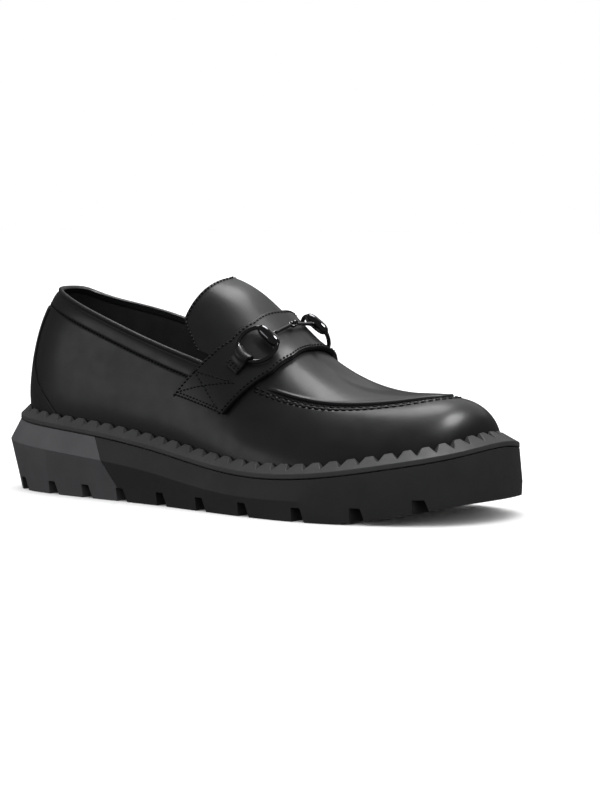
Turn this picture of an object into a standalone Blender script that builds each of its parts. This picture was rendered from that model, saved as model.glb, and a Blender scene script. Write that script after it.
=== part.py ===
"""Bit loafer, right shoe: chunky lugged sole, toothed welt, hollow upper, saddle strap and bit.

Metres, +Z up, toe toward +X, lateral side toward -Y, origin at the centre of the sole on the floor.
Angles around the last run from the heel (0) by the lateral side (90) and the toe (180) to the
medial side (270). Shares up the last run from the feather edge (0) to the ridge (1).
"""
import math

import bmesh
import bpy
import numpy as np
from mathutils import Vector

# Sizes of the whole shoe
SOLE_LENGTH = 0.302
SOLE_WIDTH = 0.112
HEEL_HEIGHT = 0.0384
GAP = 0.0003
SEAT_GAP = 0.00045

# Sizes of the upper
WALL = 0.0018
APRON_RISE = 0.0010
APRON_RAMP = 6.0
FEATHER_TUCK = 0.0020
TUCK_HEIGHT = 0.018
RIDGE_HEIGHT = 0.1265
SPINE_REACH = 0.089
SPINE_SHIFT = 0.011
THROAT_ANGLE = 95.0
HEEL_STRIP = 0.0005
INSOLE_THICKNESS = 0.003
INSOLE_CLEARANCE = 0.0006

# Sizes of the sole and its welt
WELT_HEIGHT = 0.0070
WELT_RIB = 0.0026
TOOTH_PITCH = 0.0099
LUG_DEPTH = 0.0070
LUG_SLOT = 0.0052
LUG_SLOPE = 0.0022
HEEL_CUT_TOP = -0.0770
HEEL_CUT_FOOT = -0.0500

# Sizes of the saddle strap, the tongue and the bit
STRAP_THICKNESS = 0.0026
TONGUE_THICKNESS = 0.0022
TAB_THICKNESS = 0.0014
TONGUE_CLEARANCE = 0.0175
END_TILT = 0.024
TAB_WIDTH = 0.0088
TAB_FOOT = 0.0082
TAB_SLACK = 0.0005
WIRE_RADIUS = 0.0011
BARREL_RADIUS = 0.0030
BARREL_LENGTH = 0.0146
BARREL_SET = 0.0006
RING_RADIUS = 0.0099
BAR_RADIUS = 0.0009
EYE_RADIUS = 0.0017
EYE_WIRE = 0.00065
EYE_SHIFT = 0.00085
BIT_LIFT = 0.0010
KNOT_LIFT = 0.0004

# Where the bit lies on the strap, lateral half (1) and medial half (-1): shares up the last of a
# ring's foot and head, and degrees behind the strap's middle. Angle and share of the knot.
RING_SHARES = {1: (0.370, 0.515), -1: (0.405, 0.580)}
BIT_LAG = {1: 0.3, -1: 1.4}
KNOT_ANGLE = 98.9
KNOT_SHARE = 0.81

# Angles in degrees: where the sole's flat rest ends and how fast it lifts, and where the apron starts
BALL_ANGLE = 122.0
BALL_RAMP = 10.0
APRON_SHARE = 0.31
APRON_START = 1.0

# Small allowances of the slot cutters
CUT_UNDER = 0.001
CUT_LEAN = 0.0002

# How finely the curves are stepped
COLUMNS = 72
SIDE_ROWS = 6
APRON_ROWS = 8
STRAP_COLUMNS = 5
TONGUE_COLUMNS = 7
TAB_COLUMNS = 5
HOOP_STEPS = 25

# One row per 20 degrees from heel (0) to toe (180). Outline and insets as shares of half the
# sole's width, heights as shares of the heel's height.
#        lateral  medial  wall_top  spring  ridge  facet   draft   welt
SOLE_TABLE = [
    (0, 0.000, 0.000, 1.000, 0.000, 0.72, 0.0982, 0.1071, 0.0929),
    (20, -0.426, 0.430, 0.979, 0.000, 0.72, 0.0982, 0.1071, 0.0929),
    (40, -0.642, 0.635, 0.922, 0.000, 0.70, 0.0929, 0.0982, 0.0982),
    (60, -0.730, 0.675, 0.846, 0.000, 0.67, 0.0804, 0.0804, 0.1036),
    (80, -0.815, 0.700, 0.695, 0.000, 0.62, 0.0536, 0.0536, 0.1071),
    (100, -0.985, 0.860, 0.521, 0.000, 0.52, 0.0357, 0.0321, 0.1107),
    (120, -1.045, 1.000, 0.544, 0.000, 0.49, 0.0268, 0.0179, 0.1143),
    (140, -0.849, 0.930, 0.698, 0.099, 0.35, 0.0268, 0.0089, 0.1214),
    (160, -0.510, 0.630, 0.836, 0.245, 0.30, 0.0268, 0.0054, 0.1321),
    (180, 0.070, 0.070, 0.930, 0.284, 0.30, 0.0268, 0.0054, 0.1393),
]
# The last's sections at the same stations: how full the side and the rise are (exponents), where
# the topline and the apron's seam run (shares up the section), and the tongue's own rounder arch.
#        angle side  rise  lateral_edge medial_edge tongue_side tongue_rise
LAST_TABLE = [
    (0, 0.849, 0.86, 0.341, 0.341, 0.85, 1.00),
    (20, 0.723, 0.853, 0.344, 0.339, 0.80, 1.00),
    (40, 0.423, 0.872, 0.336, 0.320, 0.80, 1.00),
    (60, 0.264, 0.924, 0.281, 0.297, 0.75, 1.00),
    (80, 0.454, 1.178, 0.260, 0.280, 0.65, 1.10),
    (100, 0.780, 1.429, 0.315, 0.316, 0.78, 1.43),
    (120, 0.826, 1.455, 0.387, 0.378, 0.83, 1.46),
    (140, 0.750, 1.270, 0.477, 0.455, 0.75, 1.27),
    (160, 0.601, 1.139, 0.595, 0.565, 0.60, 1.14),
    (180, 0.399, 1.051, 0.687, 0.687, 0.40, 1.05),
]
# The ridge along the top of the last, as shares: place of half the sole's length, height of the
# ridge's height, sideways shift of half the sole's width.
#        along   height  sideways
RIDGE_TABLE = [
    (-0.5166, 1.000, 0.0000),
    (-0.3311, 0.955, 0.0661),
    (-0.1325, 0.921, 0.1107),
    (0.0331, 0.843, 0.1107),
    (0.1987, 0.659, 0.0857),
    (0.3642, 0.519, 0.0661),
    (0.5298, 0.469, 0.0375),
    (0.6623, 0.469, 0.0232),
]
# The saddle strap's two edges, as angles, by share up the last.
#        share  rear  front
STRAP_TABLE = [
    (0.150, 81.6, 93.9),
    (0.240, 85.9, 97.6),
    (0.300, 88.3, 99.9),
    (0.400, 91.5, 103.6),
    (0.560, 93.3, 106.0),
    (1.000, 93.2, 106.5),
]
# The tongue's end, as an angle, by share up the last.
#        share  rear
TONGUE_TABLE = [
    (0.283, 84.0),
    (0.303, 82.0),
    (0.325, 80.2),
    (0.345, 78.6),
    (0.370, 78.0),
    (0.420, 77.8),
    (0.480, 77.6),
    (0.550, 77.2),
    (0.630, 76.6),
    (0.720, 75.6),
    (0.820, 74.3),
    (0.910, 73.2),
    (1.000, 72.0),
]
TONGUE_ROOT = 94.2
TONGUE_EASE = 0.36
# Shares up the last at which the strap's rows lie.
STRAP_ROWS = [0.150, 0.20, 0.25, 0.30, 0.35, 0.40, 0.46, 0.53, 0.61, 0.70, 0.80, 0.90, 1.0]
# One tooth of the welt: place along its pitch, and height as a share of the welt's height.
#        place  height
TOOTH_TABLE = [
    (0.00, 0.58),
    (0.29, 1.00),
    (0.71, 1.00),
]
CREST_SHARE = 0.88
# The heel strip's edge, as an angle, by share up the last.
#        share  edge
HEEL_STRIP_TABLE = [
    (0.000, 46.0),
    (0.025, 42.0),
    (0.043, 38.0),
    (0.065, 32.0),
    (0.103, 26.0),
    (0.173, 25.0),
    (0.258, 27.5),
    (0.350, 29.5),
]
STRIP_STATION = 25.0
STRIP_REACH = 60.0
STRIP_MARGIN = 3.0
# The barrel on the ring's head: place along its length, and radius as a share.
#        place  radius
BARREL_TABLE = [
    (-0.50, 0.45),
    (-0.42, 0.80),
    (-0.20, 1.00),
    (0.20, 1.00),
    (0.42, 0.80),
    (0.50, 0.45),
]
# Turns of the tab round the ring's foot, in degrees.
TAB_TURNS = [165, 135, 105, 75, 45, 15, -20]
# Rear edges of the lug slots along the shoe, as shares of half the sole's length.
LUG_PLACES = [-0.8874, -0.7126, -0.5417, -0.3748, -0.1795, 0.0166, 0.2199, 0.4464, 0.6497, 0.8358]

RUBBER = (0.018, 0.018, 0.020, 1.0)
GREY_RUBBER = (0.060, 0.060, 0.064, 1.0)
LEATHER = (0.020, 0.020, 0.022, 1.0)
LINING = (0.012, 0.012, 0.013, 1.0)
METAL = (0.010, 0.010, 0.011, 1.0)


def column(table, name_index):
    return [row[name_index] for row in table]


def closed_spline(lateral, medial, angle):
    """A smooth closed curve through station values of both sides, read at an angle."""
    values = np.array(list(lateral) + list(medial[-2:0:-1]), float)
    count = len(values)
    step = 360.0 / count
    matrix = np.zeros((count, count))
    for i in range(count):
        matrix[i, i - 1] = step
        matrix[i, i] = 4 * step
        matrix[i, (i + 1) % count] = step
    turn = 6 * (np.roll(values, -1) - 2 * values + np.roll(values, 1)) / step
    bend = np.linalg.solve(matrix, turn)
    place = (np.asarray(angle, float) % 360.0) / step
    i = np.floor(place).astype(int) % count
    j = (i + 1) % count
    t = (place - np.floor(place)) * step
    u = step - t
    curve = bend[i] * u**3 / (6 * step) + bend[j] * t**3 / (6 * step)
    curve += (values[i] / step - bend[i] * step / 6) * u
    curve += (values[j] / step - bend[j] * step / 6) * t
    return curve


def alike(table, index, angle):
    """A station column that is the same on both sides."""
    values = column(table, index)
    return closed_spline(values, values, angle)


def natural_spline(knots, values, place):
    """A smooth open curve through the values, held at its ends."""
    knots = np.array(knots, float)
    values = np.array(values, float)
    count = len(knots)
    gap = np.diff(knots)
    matrix = np.eye(count)
    turn = np.zeros(count)
    for i in range(1, count - 1):
        matrix[i, i - 1] = gap[i - 1]
        matrix[i, i] = 2 * (gap[i - 1] + gap[i])
        matrix[i, i + 1] = gap[i]
        turn[i] = 6 * ((values[i + 1] - values[i]) / gap[i] - (values[i] - values[i - 1]) / gap[i - 1])
    bend = np.linalg.solve(matrix, turn)
    place = np.clip(np.asarray(place, float), knots[0], knots[-1])
    i = np.clip(np.searchsorted(knots, place, side="right") - 1, 0, count - 2)
    t = place - knots[i]
    u = gap[i] - t
    curve = bend[i] * u**3 / (6 * gap[i]) + bend[i + 1] * t**3 / (6 * gap[i])
    curve += (values[i] / gap[i] - bend[i] * gap[i] / 6) * u
    curve += (values[i + 1] / gap[i] - bend[i + 1] * gap[i] / 6) * t
    return curve


def sole_inset(index, angle):
    return alike(SOLE_TABLE, index, angle) * SOLE_WIDTH / 2


def outline(angle, inset):
    """The sole's outline in plan, moved inward by an inset."""
    angle = np.asarray(angle, float)

    def at(a):
        x = -SOLE_LENGTH / 2 * np.cos(np.radians(a))
        share = closed_spline(column(SOLE_TABLE, 1), column(SOLE_TABLE, 2), a)
        return np.stack([x, share * SOLE_WIDTH / 2], -1)

    ahead = at(angle + 0.05) - at(angle - 0.05)
    ahead /= np.linalg.norm(ahead, axis=-1, keepdims=True)
    inward = np.stack([-ahead[..., 1], ahead[..., 0]], -1)
    return at(angle) + inward * np.asarray(inset, float)[..., None]


def wall_top(angle):
    return alike(SOLE_TABLE, 3, angle) * HEEL_HEIGHT


def toe_spring(angle):
    return np.maximum(alike(SOLE_TABLE, 4, angle), 0.0) * HEEL_HEIGHT * flat_rest(angle)


def folded(angle):
    """The angle from the heel, the same on both sides."""
    turned = np.asarray(angle, float) % 360.0
    return np.minimum(turned, 360.0 - turned)


def flat_rest(angle):
    """Zero from the heel to the ball, where the sole lies flat, and one ahead of it."""
    return np.clip((folded(angle) - BALL_ANGLE) / BALL_RAMP, 0.0, 1.0)


def stations():
    return np.arange(COLUMNS) * 360.0 / COLUMNS


def ring(angle, inset, height):
    return np.concatenate([outline(angle, inset), np.asarray(height, float)[..., None]], -1)


def feather_inset(angle):
    return sole_inset(6, angle) + sole_inset(8, angle)


def ridge_point(angle):
    """Place, sideways shift and height of the ridge above an angle round the last."""
    x = SPINE_SHIFT - SPINE_REACH * np.cos(np.radians(angle))
    place = x * 2 / SOLE_LENGTH
    y = natural_spline(column(RIDGE_TABLE, 0), column(RIDGE_TABLE, 2), place) * SOLE_WIDTH / 2
    high = natural_spline(column(RIDGE_TABLE, 0), column(RIDGE_TABLE, 1), place) * RIDGE_HEIGHT
    return x, y, high


def last(angle, share, side_column=1, rise_column=2):
    """The last's surface at an angle around and a share up its section."""
    angle, share = np.broadcast_arrays(np.asarray(angle, float), np.asarray(share, float))
    foot = outline(angle, feather_inset(angle))
    low = wall_top(angle) + GAP
    x, y, high = ridge_point(angle)
    sweep = math.pi / 2 * (1 - (1 - share) ** 2)
    out = np.where(share >= 1, 0.0, np.clip(np.cos(sweep), 0, 1) ** alike(LAST_TABLE, side_column, angle))
    z = low + (high - low) * np.sin(sweep) ** alike(LAST_TABLE, rise_column, angle)
    top = np.stack([x, y], -1)
    reach = foot - top
    outward = reach / np.linalg.norm(reach, axis=-1, keepdims=True)
    tuck = np.clip(1 - (z - low) / TUCK_HEIGHT, 0, 1) ** 2 * FEATHER_TUCK
    plan = top + reach * out[..., None] - outward * (tuck * out)[..., None]
    return np.concatenate([plan, z[..., None]], -1)


def tongue_form(angle, share):
    return last(angle, share, 5, 6)


def share_at_height(angle, height):
    """The share up the section where the last stands a height above its feather edge."""
    low = wall_top(angle) + GAP
    high = ridge_point(angle)[2]
    part = (height / (high - low)) ** (1 / alike(LAST_TABLE, 2, angle))
    return 1 - np.sqrt(1 - np.arcsin(part) * 2 / math.pi)


def upper_edge(angle):
    """Share of the topline, and ahead of the throat of the apron's seam."""
    return closed_spline(column(LAST_TABLE, 3), column(LAST_TABLE, 4), angle)


def strap_edge(share, index):
    return np.interp(share, column(STRAP_TABLE, 0), column(STRAP_TABLE, index))


def apron_rise(angle):
    """The apron's raised edge fades in ahead of the saddle strap."""
    start = strap_edge(APRON_SHARE, 2) + APRON_START
    t = np.clip((folded(angle) - start) / APRON_RAMP, 0, 1)
    return APRON_RISE * t * t * (3 - 2 * t)


def material(name, colour, roughness, metallic):
    made = bpy.data.materials.new(name)
    made.use_nodes = True
    shader = made.node_tree.nodes["Principled BSDF"]
    shader.inputs["Base Color"].default_value = colour
    shader.inputs["Roughness"].default_value = roughness
    shader.inputs["Metallic"].default_value = metallic
    return made


def put(name, bm, look):
    bmesh.ops.remove_doubles(bm, verts=bm.verts, dist=1e-6)
    bmesh.ops.recalc_face_normals(bm, faces=bm.faces)
    for face in bm.faces:
        face.smooth = True
    mesh = bpy.data.meshes.new(name)
    bm.to_mesh(mesh)
    bm.free()
    made = bpy.data.objects.new(name, mesh)
    bpy.context.scene.collection.objects.link(made)
    made.data.materials.append(look)
    return made


def add_faces(bm, verts, faces):
    for face in faces:
        corners = []
        for index in face:
            if verts[index] not in corners:
                corners.append(verts[index])
        if len(corners) > 2:
            bm.faces.new(corners)


def face_normals_at(points, faces):
    """Area-weighted normals of a mesh at its points."""
    normals = np.zeros_like(points)
    for face in faces:
        corners = points[list(face)]
        for k in range(1, len(face) - 1):
            n = np.cross(corners[k] - corners[0], corners[k + 1] - corners[0])
            normals[list(face)] += n
    return normals / np.linalg.norm(normals, axis=1, keepdims=True)


def rim_edges(faces):
    """Edges that only one face uses, in that face's direction."""
    seen = {}
    for face in faces:
        for k in range(len(face)):
            a, b = face[k], face[(k + 1) % len(face)]
            seen[(a, b)] = True
    return [edge for edge in seen if (edge[1], edge[0]) not in seen]


def shell(name, outer, inner, faces, inner_of, inner_faces, look):
    """A closed shell from an outer skin, an inner skin and the rims between them."""
    bm = bmesh.new()
    skin = [bm.verts.new(p) for p in outer]
    inside = [bm.verts.new(p) for p in inner]
    add_faces(bm, skin, faces)
    add_faces(bm, inside, [tuple(reversed(face)) for face in inner_faces])
    for a, b in rim_edges(faces):
        add_faces(bm, [skin[b], skin[a], inside[inner_of[a]], inside[inner_of[b]]], [(0, 1, 2, 3)])
    return put(name, bm, look)


def sheet(name, grid, thickness, lift, look):
    """A patch of leather over a grid of surface points, lifted off it and thickened outward."""
    rows, columns = grid.shape[:2]
    points = grid.reshape(-1, 3)
    faces = []
    for i in range(rows - 1):
        for j in range(columns - 1):
            a = i * columns + j
            faces.append((a, a + 1, a + columns + 1, a + columns))
    normals = face_normals_at(points, faces)
    centre = points.mean(axis=0)
    if ((points - centre) * normals).sum() < 0:
        normals = -normals
        faces = [tuple(reversed(face)) for face in faces]
    raised = lift.reshape(-1, 1)
    inner = points + normals * raised
    outer = points + normals * (raised + thickness)
    return shell(name, outer, inner, faces, list(range(len(points))), faces, look)


def make_sole():
    """The rubber unit: flat underneath, faceted sides, a top that carries the welt and the foot."""
    angles = stations()
    spring = toe_spring(angles)
    top = wall_top(angles)
    ridge = spring + (top - spring) * alike(SOLE_TABLE, 5, angles)
    facet = sole_inset(6, angles)
    draft = sole_inset(7, angles)
    levels = [
        ring(angles, draft, spring),
        ring(angles, 0 * facet, ridge),
        ring(angles, facet, top),
        ring(angles, feather_inset(angles), top),
    ]
    bm = bmesh.new()
    rings = [[bm.verts.new(p) for p in level] for level in levels]
    for low, high in zip(rings[:-1], rings[1:]):
        for k in range(COLUMNS):
            n = (k + 1) % COLUMNS
            bm.faces.new((low[k], low[n], high[n], high[k]))
    half = COLUMNS // 2
    for deck in (rings[0], rings[-1]):
        for k in range(half):
            far, near = (COLUMNS - k) % COLUMNS, COLUMNS - k - 1
            add_faces(bm, deck, [(k, k + 1, near, far)])
    return bm


def split_sole(bm, point, ahead, keep_front):
    cut = bmesh.ops.bisect_plane(
        bm,
        geom=bm.verts[:] + bm.edges[:] + bm.faces[:],
        dist=1e-7,
        plane_co=point,
        plane_no=ahead,
        clear_inner=keep_front,
        clear_outer=not keep_front,
    )
    edges = [e for e in cut["geom_cut"] if isinstance(e, bmesh.types.BMEdge)]
    bmesh.ops.holes_fill(bm, edges=edges, sides=0)
    bmesh.ops.triangulate(bm, faces=[f for f in bm.faces if len(f.verts) > 4])


def slot_cutter(index, share):
    """A slot across the sole: upright behind, sloped ahead."""
    place = share * SOLE_LENGTH / 2
    floor = -CUT_UNDER
    roof = float(toe_spring(np.degrees(np.arccos(-share)))) + LUG_DEPTH
    wide = LUG_SLOPE * (roof - floor) / LUG_DEPTH
    section = [
        (place, floor),
        (place + LUG_SLOT + wide, floor),
        (place + LUG_SLOT, roof),
        (place + CUT_LEAN, roof),
    ]
    bm = bmesh.new()
    left = [bm.verts.new((x, -SOLE_WIDTH, z)) for x, z in section]
    right = [bm.verts.new((x, SOLE_WIDTH, z)) for x, z in section]
    bm.faces.new(left)
    bm.faces.new(right)
    for k in range(4):
        bm.faces.new((left[k], left[(k + 1) % 4], right[(k + 1) % 4], right[k]))
    return put(f"slot_cutter_{index}", bm, bpy.data.materials["outsole_rubber"])


def cut_slots(target, cutters):
    for cutter in cutters:
        cutter.hide_render = True
        cutter.display_type = "WIRE"
        change = target.modifiers.new(cutter.name, "BOOLEAN")
        change.operation = "DIFFERENCE"
        change.solver = "EXACT"
        change.object = cutter


def bake(target):
    """Keeps what the modifiers make of an object, as plain mesh."""
    graph = bpy.context.evaluated_depsgraph_get()
    mesh = bpy.data.meshes.new_from_object(target.evaluated_get(graph))
    for look in list(target.data.materials):
        if look.name not in mesh.materials:
            mesh.materials.append(look)
    target.modifiers.clear()
    target.data = mesh


def drop(objects):
    for one in objects:
        bpy.data.objects.remove(one, do_unlink=True)


def make_welt(look):
    """The toothed strip round the upper's foot, one tooth per pitch."""
    fine = np.linspace(0, 360, 1441)
    run = ring(fine, sole_inset(6, fine), wall_top(fine))
    length = np.concatenate([[0], np.cumsum(np.linalg.norm(np.diff(run, axis=0), axis=1))])
    teeth = int(round(length[-1] / TOOTH_PITCH))
    bm = bmesh.new()
    sections = []
    for k in range(teeth):
        for part, level in TOOTH_TABLE:
            place = (k + part) / teeth * length[-1]
            angle = np.array(np.interp(place, length, fine))
            base = float(wall_top(angle)) + GAP
            outer = outline(angle, sole_inset(6, angle))
            foot = last(angle, 0.0)
            top = last(angle, share_at_height(angle, WELT_HEIGHT))
            away = outer - foot[:2]
            away = away / np.linalg.norm(away)
            covered = folded(angle) < HEEL_STRIP_TABLE[0][1] + STRIP_MARGIN
            clear = GAP + (HEEL_STRIP if covered else 0.0)
            foot_in = foot[:2] + away * clear
            top_in = top[:2] + away * clear
            height = WELT_HEIGHT * level
            slope = (height - WELT_RIB) / (WELT_HEIGHT - WELT_RIB) * CREST_SHARE
            crest = outer + (top_in - outer) * slope
            inner = foot_in + (top_in - foot_in) * level
            sections.append([
                bm.verts.new((*outer, base)),
                bm.verts.new((*outer, base + WELT_RIB)),
                bm.verts.new((*crest, base + height)),
                bm.verts.new((*inner, base + height)),
                bm.verts.new((*foot_in, base)),
            ])
    for k, here in enumerate(sections):
        there = sections[(k + 1) % len(sections)]
        for i in range(5):
            j = (i + 1) % 5
            bm.faces.new((here[i], there[i], there[j], here[j]))
    return put("welt", bm, look)


def make_insole(look):
    angles = stations()
    inset = feather_inset(angles) + FEATHER_TUCK + WALL + INSOLE_CLEARANCE
    low = ring(angles, inset, wall_top(angles) + GAP)
    high = ring(angles, inset, wall_top(angles) + GAP + INSOLE_THICKNESS)
    bm = bmesh.new()
    rings = [[bm.verts.new(p) for p in level] for level in (low, high)]
    for k in range(COLUMNS):
        n = (k + 1) % COLUMNS
        bm.faces.new((rings[0][k], rings[0][n], rings[1][n], rings[1][k]))
    for deck in rings:
        for k in range(COLUMNS // 2):
            add_faces(bm, deck, [(k, k + 1, COLUMNS - k - 1, (COLUMNS - k) % COLUMNS)])
    return put("insole", bm, look)


def strip_angle(angle, share):
    """A column's angle at a share, bent so that the strip's station runs along the strip's edge."""
    if folded(angle) >= STRIP_REACH:
        return angle
    edge = float(np.interp(share, column(HEEL_STRIP_TABLE, 0), column(HEEL_STRIP_TABLE, 1)))
    bent = np.interp(folded(angle), [0.0, STRIP_STATION, STRIP_REACH], [0.0, edge, STRIP_REACH])
    return float(bent) if angle < 180 else 360.0 - float(bent)


def make_upper(look):
    """The hollow upper: wall all round with a strip up the heel, apron ahead of the throat."""
    angles = stations()
    throat = int(round(THROAT_ANGLE * COLUMNS / 360.0))
    points = []
    index = {}

    def keep(key, point):
        index[key] = len(points)
        points.append(point)

    edge = upper_edge(angles)
    first = share_at_height(angles, WELT_HEIGHT)
    for i, angle in enumerate(angles):
        shares = [0.0] + list(np.linspace(first[i], edge[i], SIDE_ROWS))
        for j, share in enumerate(shares):
            if j < SIDE_ROWS:
                keep((i, j), last(strip_angle(angle, share), share))
            else:
                keep((i, j), last(angle, share))
    top = SIDE_ROWS
    half = COLUMNS // 2
    for i in range(throat, COLUMNS - throat + 1):
        for j in range(1, APRON_ROWS):
            share = edge[i] + (1 - edge[i]) * j / APRON_ROWS
            keep((i, top + j), last(angles[i], share))
    for i in range(throat, half + 1):
        keep((i, top + APRON_ROWS), last(angles[i], 1.0))
        index[(COLUMNS - i, top + APRON_ROWS)] = index[(i, top + APRON_ROWS)]
    smooth = np.array(points)

    sides = []
    for i in range(COLUMNS):
        n = (i + 1) % COLUMNS
        for j in range(top):
            sides.append((index[(i, j)], index[(n, j)], index[(n, j + 1)], index[(i, j + 1)]))
    apron = []
    for i in range(throat, COLUMNS - throat):
        for j in range(top, top + APRON_ROWS):
            face = (index[(i, j)], index[(i + 1, j)], index[(i + 1, j + 1)], index[(i, j + 1)])
            apron.append(face)
    normals = face_normals_at(smooth, sides + [f for f in apron if len(set(f)) == 4])
    inner = smooth - normals * WALL
    for i in range(COLUMNS):
        inner[index[(i, 0)], 2] = smooth[index[(i, 0)], 2]

    outer = [p for p in smooth]
    inner_of = list(range(len(smooth)))
    raised = {}
    for i in range(throat, COLUMNS - throat + 1):
        rise = float(apron_rise(angles[i]))
        for j in range(top, top + APRON_ROWS + 1):
            k = index[(i, j)]
            if j > top:
                outer[k] = smooth[k] + normals[k] * rise
            elif rise > 0:
                raised[k] = len(outer)
                outer.append(smooth[k] + normals[k] * rise)
                inner_of.append(k)
    seam_row = {index[(i, top)] for i in range(throat, COLUMNS - throat + 1)}
    edge_station = int(round(STRIP_STATION * COLUMNS / 360.0))
    strip = {}
    for i in range(-edge_station, edge_station + 1):
        for j in range(top):
            k = index[(i % COLUMNS, j)]
            if abs(i) < edge_station:
                outer[k] = smooth[k] + normals[k] * HEEL_STRIP
            else:
                strip[k] = len(outer)
                outer.append(smooth[k] + normals[k] * HEEL_STRIP)
                inner_of.append(k)
    for i in range(-edge_station, edge_station + 1):
        outer[index[(i % COLUMNS, 0)]][2] = smooth[index[(i % COLUMNS, 0)], 2]
    for i in (edge_station, COLUMNS - edge_station):
        outer[strip[index[(i, 0)]]][2] = smooth[index[(i, 0)], 2]
    faces = []
    for face, (i, j) in zip(sides, [(i, j) for i in range(COLUMNS) for j in range(top)]):
        covered = i < edge_station or i >= COLUMNS - edge_station
        faces.append(tuple(strip.get(k, k) for k in face) if covered else face)
    for i, turned in ((edge_station, False), (COLUMNS - edge_station, True)):
        for j in range(top):
            a, b = index[(i, j)], index[(i, j + 1)]
            step = (strip.get(a, a), a, b, strip.get(b, b))
            faces.append(tuple(dict.fromkeys(step[::-1] if turned else step)))
    for face in apron:
        faces.append(tuple(raised.get(k, k) if k in seam_row else k for k in face))
    for i in range(throat, COLUMNS - throat):
        a, b = index[(i, top)], index[(i + 1, top)]
        step = (a, b, raised.get(b, b), raised.get(a, a))
        if len(set(step)) > 2:
            faces.append(tuple(dict.fromkeys(step)))
    return shell("upper", outer, inner, faces, inner_of, sides + apron, look)


def across(shares):
    """Shares from the lateral end over the ridge to the medial end, with the side of each."""
    rows = [(s, 1) for s in shares]
    rows += [(s, -1) for s in reversed(shares[:-1])]
    return rows


def tongue_share(angle, share):
    """The tongue's lowest row follows the topline, and the rows above it ease into even shares."""
    first = TONGUE_TABLE[0][0]
    lift = upper_edge(angle) + TONGUE_CLEARANCE - first
    return share + np.maximum(lift, 0.0) * np.clip((TONGUE_EASE - share) / (TONGUE_EASE - first), 0, 1)


def make_tongue(look):
    rows = []
    for share, side in across(column(TONGUE_TABLE, 0)):
        rear = np.interp(share, column(TONGUE_TABLE, 0), column(TONGUE_TABLE, 1))
        angles = np.linspace(rear, TONGUE_ROOT, TONGUE_COLUMNS) * side
        rows.append(tongue_form(angles, tongue_share(angles, share)))
    grid = np.array(rows)
    lift = np.full(grid.shape[:2], -TONGUE_THICKNESS)
    return sheet("tongue", grid, TONGUE_THICKNESS, lift, look)


def strap_row(share, across_strap):
    """Angles and shares of a row over the strap, whose sewn ends rise toward the front edge."""
    shares = share + END_TILT * across_strap * np.clip(2 - share / STRAP_ROWS[0], 0, 1)
    angles = strap_edge(shares, 1) * (1 - across_strap) + strap_edge(shares, 2) * across_strap
    return angles, shares


def make_strap(look):
    rows = []
    lifts = []
    for share, side in across(STRAP_ROWS):
        angles, shares = strap_row(share, np.linspace(0, 1, STRAP_COLUMNS))
        rows.append(last(angles * side, shares))
        lifts.append(SEAT_GAP + apron_rise(angles))
    return sheet("saddle_strap", np.array(rows), STRAP_THICKNESS, np.array(lifts), look)


def strap_point(angle, share, side, lift):
    """A point above the strap's outer face, with the directions up the section and outward."""
    a = angle * side
    here = last(a, share)
    if share >= 1:
        up = last(-a, 0.9) - last(a, 0.9)
    else:
        up = last(a, min(share + 0.02, 1.0)) - last(a, share - 0.02)
    along = last((angle + 1) * side, share) - last((angle - 1) * side, share)
    normal = np.cross(along, up) * side
    normal /= np.linalg.norm(normal)
    if normal[2] < 0:
        normal = -normal
    up = up / np.linalg.norm(up)
    stand = SEAT_GAP + float(apron_rise(angle)) + STRAP_THICKNESS + lift
    return here + normal * stand, up, normal


def tube(points, radius, steps, closed=False):
    """A round bar along a run of points, as a closed body."""
    points = [Vector(p) for p in points]
    count = len(points)
    bm = bmesh.new()
    rings = []
    side = None
    for i, p in enumerate(points):
        before = points[i - 1] if closed or i else points[i]
        after = points[(i + 1) % count] if closed or i < count - 1 else points[i]
        ahead = (after - before).normalized()
        if side is None:
            side = ahead.orthogonal().normalized()
        side = (side - ahead * side.dot(ahead)).normalized()
        up = ahead.cross(side)
        r = radius[i] if isinstance(radius, list) else radius
        turn = [2 * math.pi * k / steps for k in range(steps)]
        rings.append([bm.verts.new(p + (side * math.cos(t) + up * math.sin(t)) * r) for t in turn])
    pairs = list(zip(rings, rings[1:]))
    if closed:
        pairs.append((rings[-1], rings[0]))
    for here, there in pairs:
        for k in range(steps):
            n = (k + 1) % steps
            bm.faces.new((here[k], here[n], there[n], there[k]))
    if not closed:
        bm.faces.new(rings[0])
        bm.faces.new(rings[-1])
    return bm


def loop(centre, first, second, radius_first, radius_second, wire, around, steps):
    turns = [2 * math.pi * k / around for k in range(around)]
    points = [
        centre + first * radius_first * math.cos(t) + second * radius_second * math.sin(t) for t in turns
    ]
    return tube(points, wire, steps, closed=True)


def join_bodies(name, bodies, look):
    """One solid out of bodies that run into each other."""
    base = put(name, bodies[0], look)
    others = [put(f"{name}_piece_{k}", bm, look) for k, bm in enumerate(bodies[1:])]
    for other in others:
        other.hide_render = True
        other.display_type = "WIRE"
        change = base.modifiers.new(other.name, "BOOLEAN")
        change.operation = "UNION"
        change.solver = "EXACT"
        change.object = other
    bake(base)
    drop(others)
    return base


def bit_angle(share, side):
    """The angle at which the bit crosses a share of the strap."""
    return (strap_edge(share, 1) + strap_edge(share, 2)) / 2 - BIT_LAG[side]


def barrel_chord():
    """How far the barrel lies ahead of the hoop's centre."""
    return math.sqrt(RING_RADIUS**2 - (BARREL_LENGTH / 2 - BARREL_SET) ** 2)


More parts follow.
